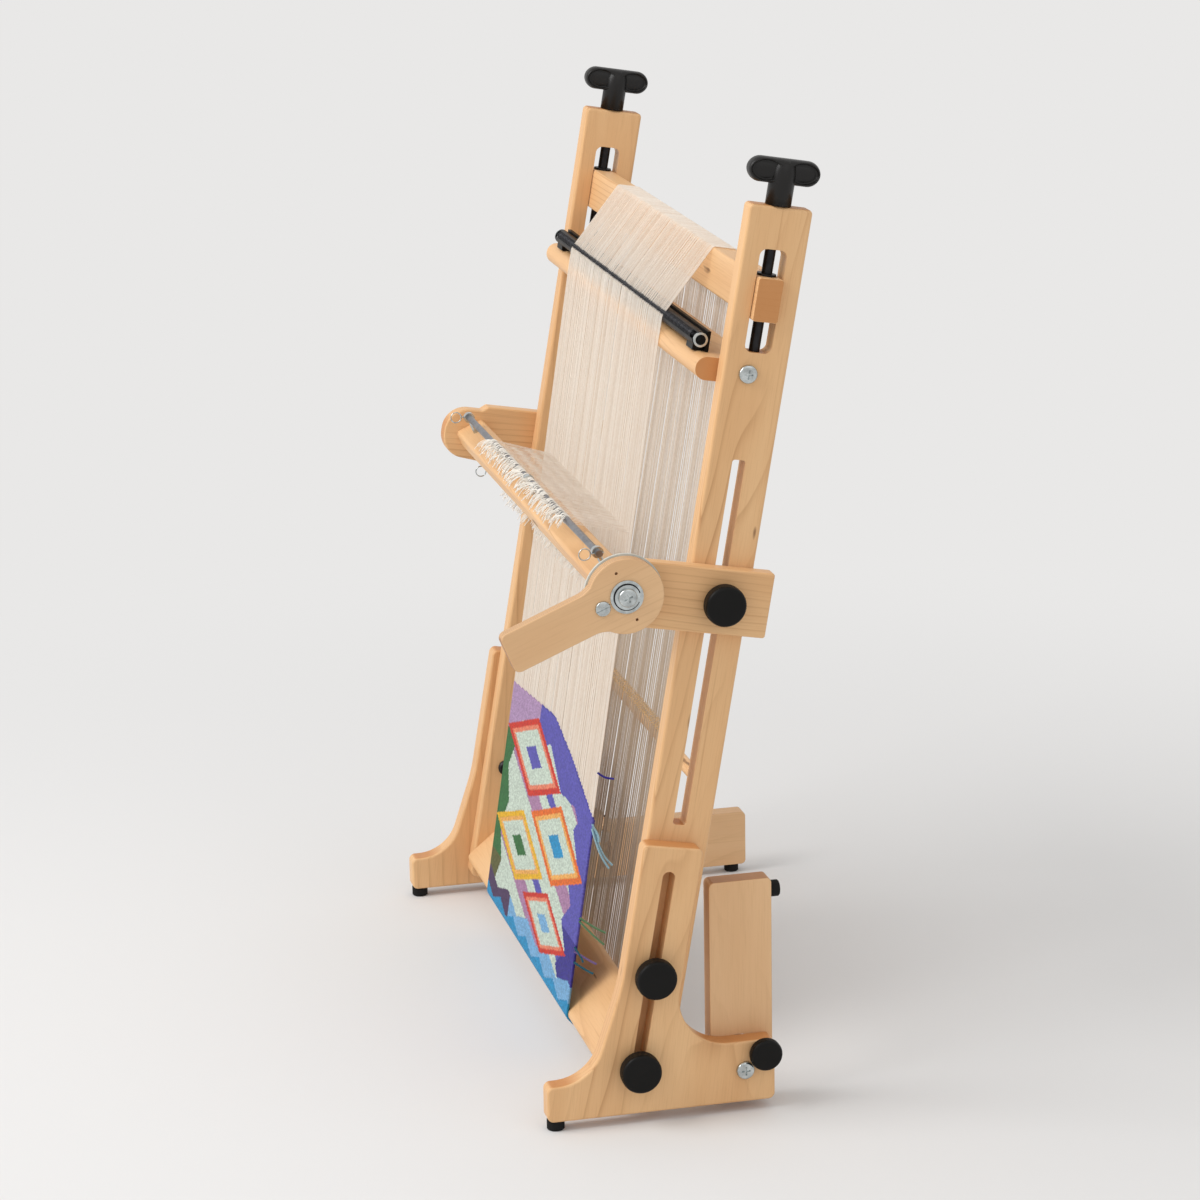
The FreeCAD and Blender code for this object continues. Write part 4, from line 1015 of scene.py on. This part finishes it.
def addHeddles():
    strings = threadTree(finishes["cotton"])
    sizes = {"Count": heddle["count"], "Start": heddle["start"] / 1000, "Spacing": heddle["spacing"] / 1000,
             "Radius": heddle["string"] / 1000, "Wander": heddle["wander"] / 1000}
    strands = strandTree(finishes["cottonWhite"])
    chance = random.Random(heddle["seed"])
    for word in ("upper", "lower"):
        v, u = heddle[word + "Rod"]
        end = heddle[word + "End"]
        near = warpFrontAt(end) - warp["radius"]
        back = v + heddle["rod"] * 0.8
        lines = [[placeMm(side * heddle["spread"], back, u + heddle["rod"] * 0.7 * side),
                  placeMm(0, near, end)] for side in (-1, 1)]
        piece = growPiece(word + "Heddles", strings, lineMesh(word + "HeddleLine", lines), sizes)
        placeMm(0, near, end)
        placeMm(0, back, u)
        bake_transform(piece)
        tufts, rings = [], []
        for index in range(heddle["count"]):
            x = heddle["start"] + index * heddle["spacing"]
            if chance.random() > heddle["bare"]:
                rings += [ringLine(x + turn + chance.uniform(-heddle["drift"], heddle["drift"]), v, u,
                                   heddle["rod"] + heddle["loop"],
                                   chance.uniform(-heddle["lean"], heddle["lean"]))
                          for turn in heddle["loops"][:chance.randint(1, 3)]]
            tufts += tuftLines(x, v, u, chance)
        for kind, lines, radius in (("Ends", tufts, tuft["strand"]), ("Loops", rings, heddle["loop"])):
            tied = growPiece(word + "Heddle" + kind, strands, lineMesh(word + kind + "Line", lines),
                             {"Radius": radius / 1000})
            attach(tied, "shed")
    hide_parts("heddles")
    print("heddles tied")


def ringLine(x, v, u, radius, lean):
    steps = heddle["steps"]
    return [placeMm(x + lean * step / steps, *aroundOf((v, u), radius, 360 * step / steps))
            for step in range(steps + 1)]


def tuftLines(x, v, u, chance):  # a knot's frayed ends, forwards of the rod and drooping
    lines = []
    aside = chance.uniform(-tuft["aside"], tuft["aside"])
    for strand in range(tuft["strands"]):
        length = chance.uniform(*tuft["length"])
        sideways = aside + chance.uniform(-tuft["fan"], tuft["fan"])
        rise = chance.uniform(*tuft["rise"])
        bend = chance.uniform(-tuft["bend"], tuft["bend"])
        line = []
        for step in range(tuft["steps"] + 1):
            share = step / tuft["steps"]
            out = length * share
            fall = tuft["droop"] * out * (0.35 + 0.65 * share) - rise * out * (1 - 0.4 * share)
            line.append(placeMm(x + sideways * out + bend * math.sin(4 * share) * tuft["sway"],
                                v - heddle["rod"] * 0.6 - out * (1 - 0.25 * share),
                                u + heddle["rod"] * 0.7 - fall))
        lines.append(line)
    return lines


# Studio

studio = {
    "floor": colour(226, 225, 224),
    "background": colour(233, 232, 231),
    "fade": (0.42, 1.6),
    "reach": 9.0,
    "key": {"place": (0.3, -2.8, 2.9), "size": 2.6, "power": 88},
    "fill": {"place": (3.2, 0.8, 2.6), "size": 3.0, "power": 8},
    "world": 0.7,
    "aim": (0, 0, 0.45),
}


def addLight(name, values, target):
    data = bpy.data.lights.new(name, "AREA")
    data.shape = "DISK"
    data.size = values["size"]
    data.energy = values["power"]
    lamp = bpy.data.objects.new(name, data)
    lamp.location = values["place"]
    lamp.rotation_mode = "QUATERNION"
    lamp.rotation_quaternion = (target - lamp.location).to_track_quat("-Z", "Y")
    scene.collection.objects.link(lamp)


def seenRays(tree):  # 1 for what the camera sees, also in gloss and through glass
    rays = addNode(tree, "ShaderNodeLightPath")
    seen = calc(tree, "MAXIMUM", rays.outputs["Is Camera Ray"], rays.outputs["Is Glossy Ray"])
    return calc(tree, "MAXIMUM", seen, rays.outputs["Is Transmission Ray"])


def floorMaterial():  # paper that keeps the loom's shadow and fades into the background
    material, tree, coords = newMaterial("floorPaper", Base_Color=studio["floor"], Roughness=0.95,
                                         Specular_IOR_Level=0.1)
    far = addNode(tree, "ShaderNodeVectorMath", {0: coords["Object"]}, operation="LENGTH")
    start, end = studio["fade"]
    away = resultOf(tree, "ShaderNodeMapRange", {0: far.outputs["Value"], 1: start, 2: end},
                    interpolation_type="SMOOTHSTEP")
    glow = resultOf(tree, "ShaderNodeEmission", {"Color": studio["background"]})
    share = calc(tree, "MULTIPLY", away, seenRays(tree))
    paper = tree.nodes["Principled BSDF"].outputs[0]
    mix = resultOf(tree, "ShaderNodeMixShader", {0: share, 1: paper, 2: glow})
    tree.links.new(mix, tree.nodes["Material Output"].inputs["Surface"])
    return material


def addStudio():
    mesh = bpy.data.meshes.new("floor")
    reach = studio["reach"]
    mesh.from_pydata([(-reach, -reach, 0), (reach, -reach, 0), (reach, reach, 0), (-reach, reach, 0)],
                     [], [(0, 1, 2, 3)])
    floor = addPiece("floor", mesh)
    mesh.materials.append(floorMaterial())
    for word in ("key", "fill"):
        addLight(word + "Light", studio[word], Vector(studio["aim"]))
    world = bpy.data.worlds.new("studio")
    scene.world = world
    world.use_nodes = True
    tree = world.node_tree
    light = tree.nodes["Background"]
    light.inputs["Color"].default_value = (1, 1, 1, 1)
    light.inputs["Strength"].default_value = studio["world"]
    seen = resultOf(tree, "ShaderNodeBackground", {"Color": studio["background"], "Strength": 1.0})
    mix = resultOf(tree, "ShaderNodeMixShader", {0: seenRays(tree), 1: light.outputs[0], 2: seen})
    tree.links.new(mix, tree.nodes["World Output"].inputs["Surface"])
    print("studio lit")


addCamera()
dressSolids()
addHandles()
addPaintedLockShade()
addKnurls()
addWarp()
addHeader()
addSpring()
addCloth()
addHeddles()
addStudio()
scene.view_settings.view_transform = "Standard"
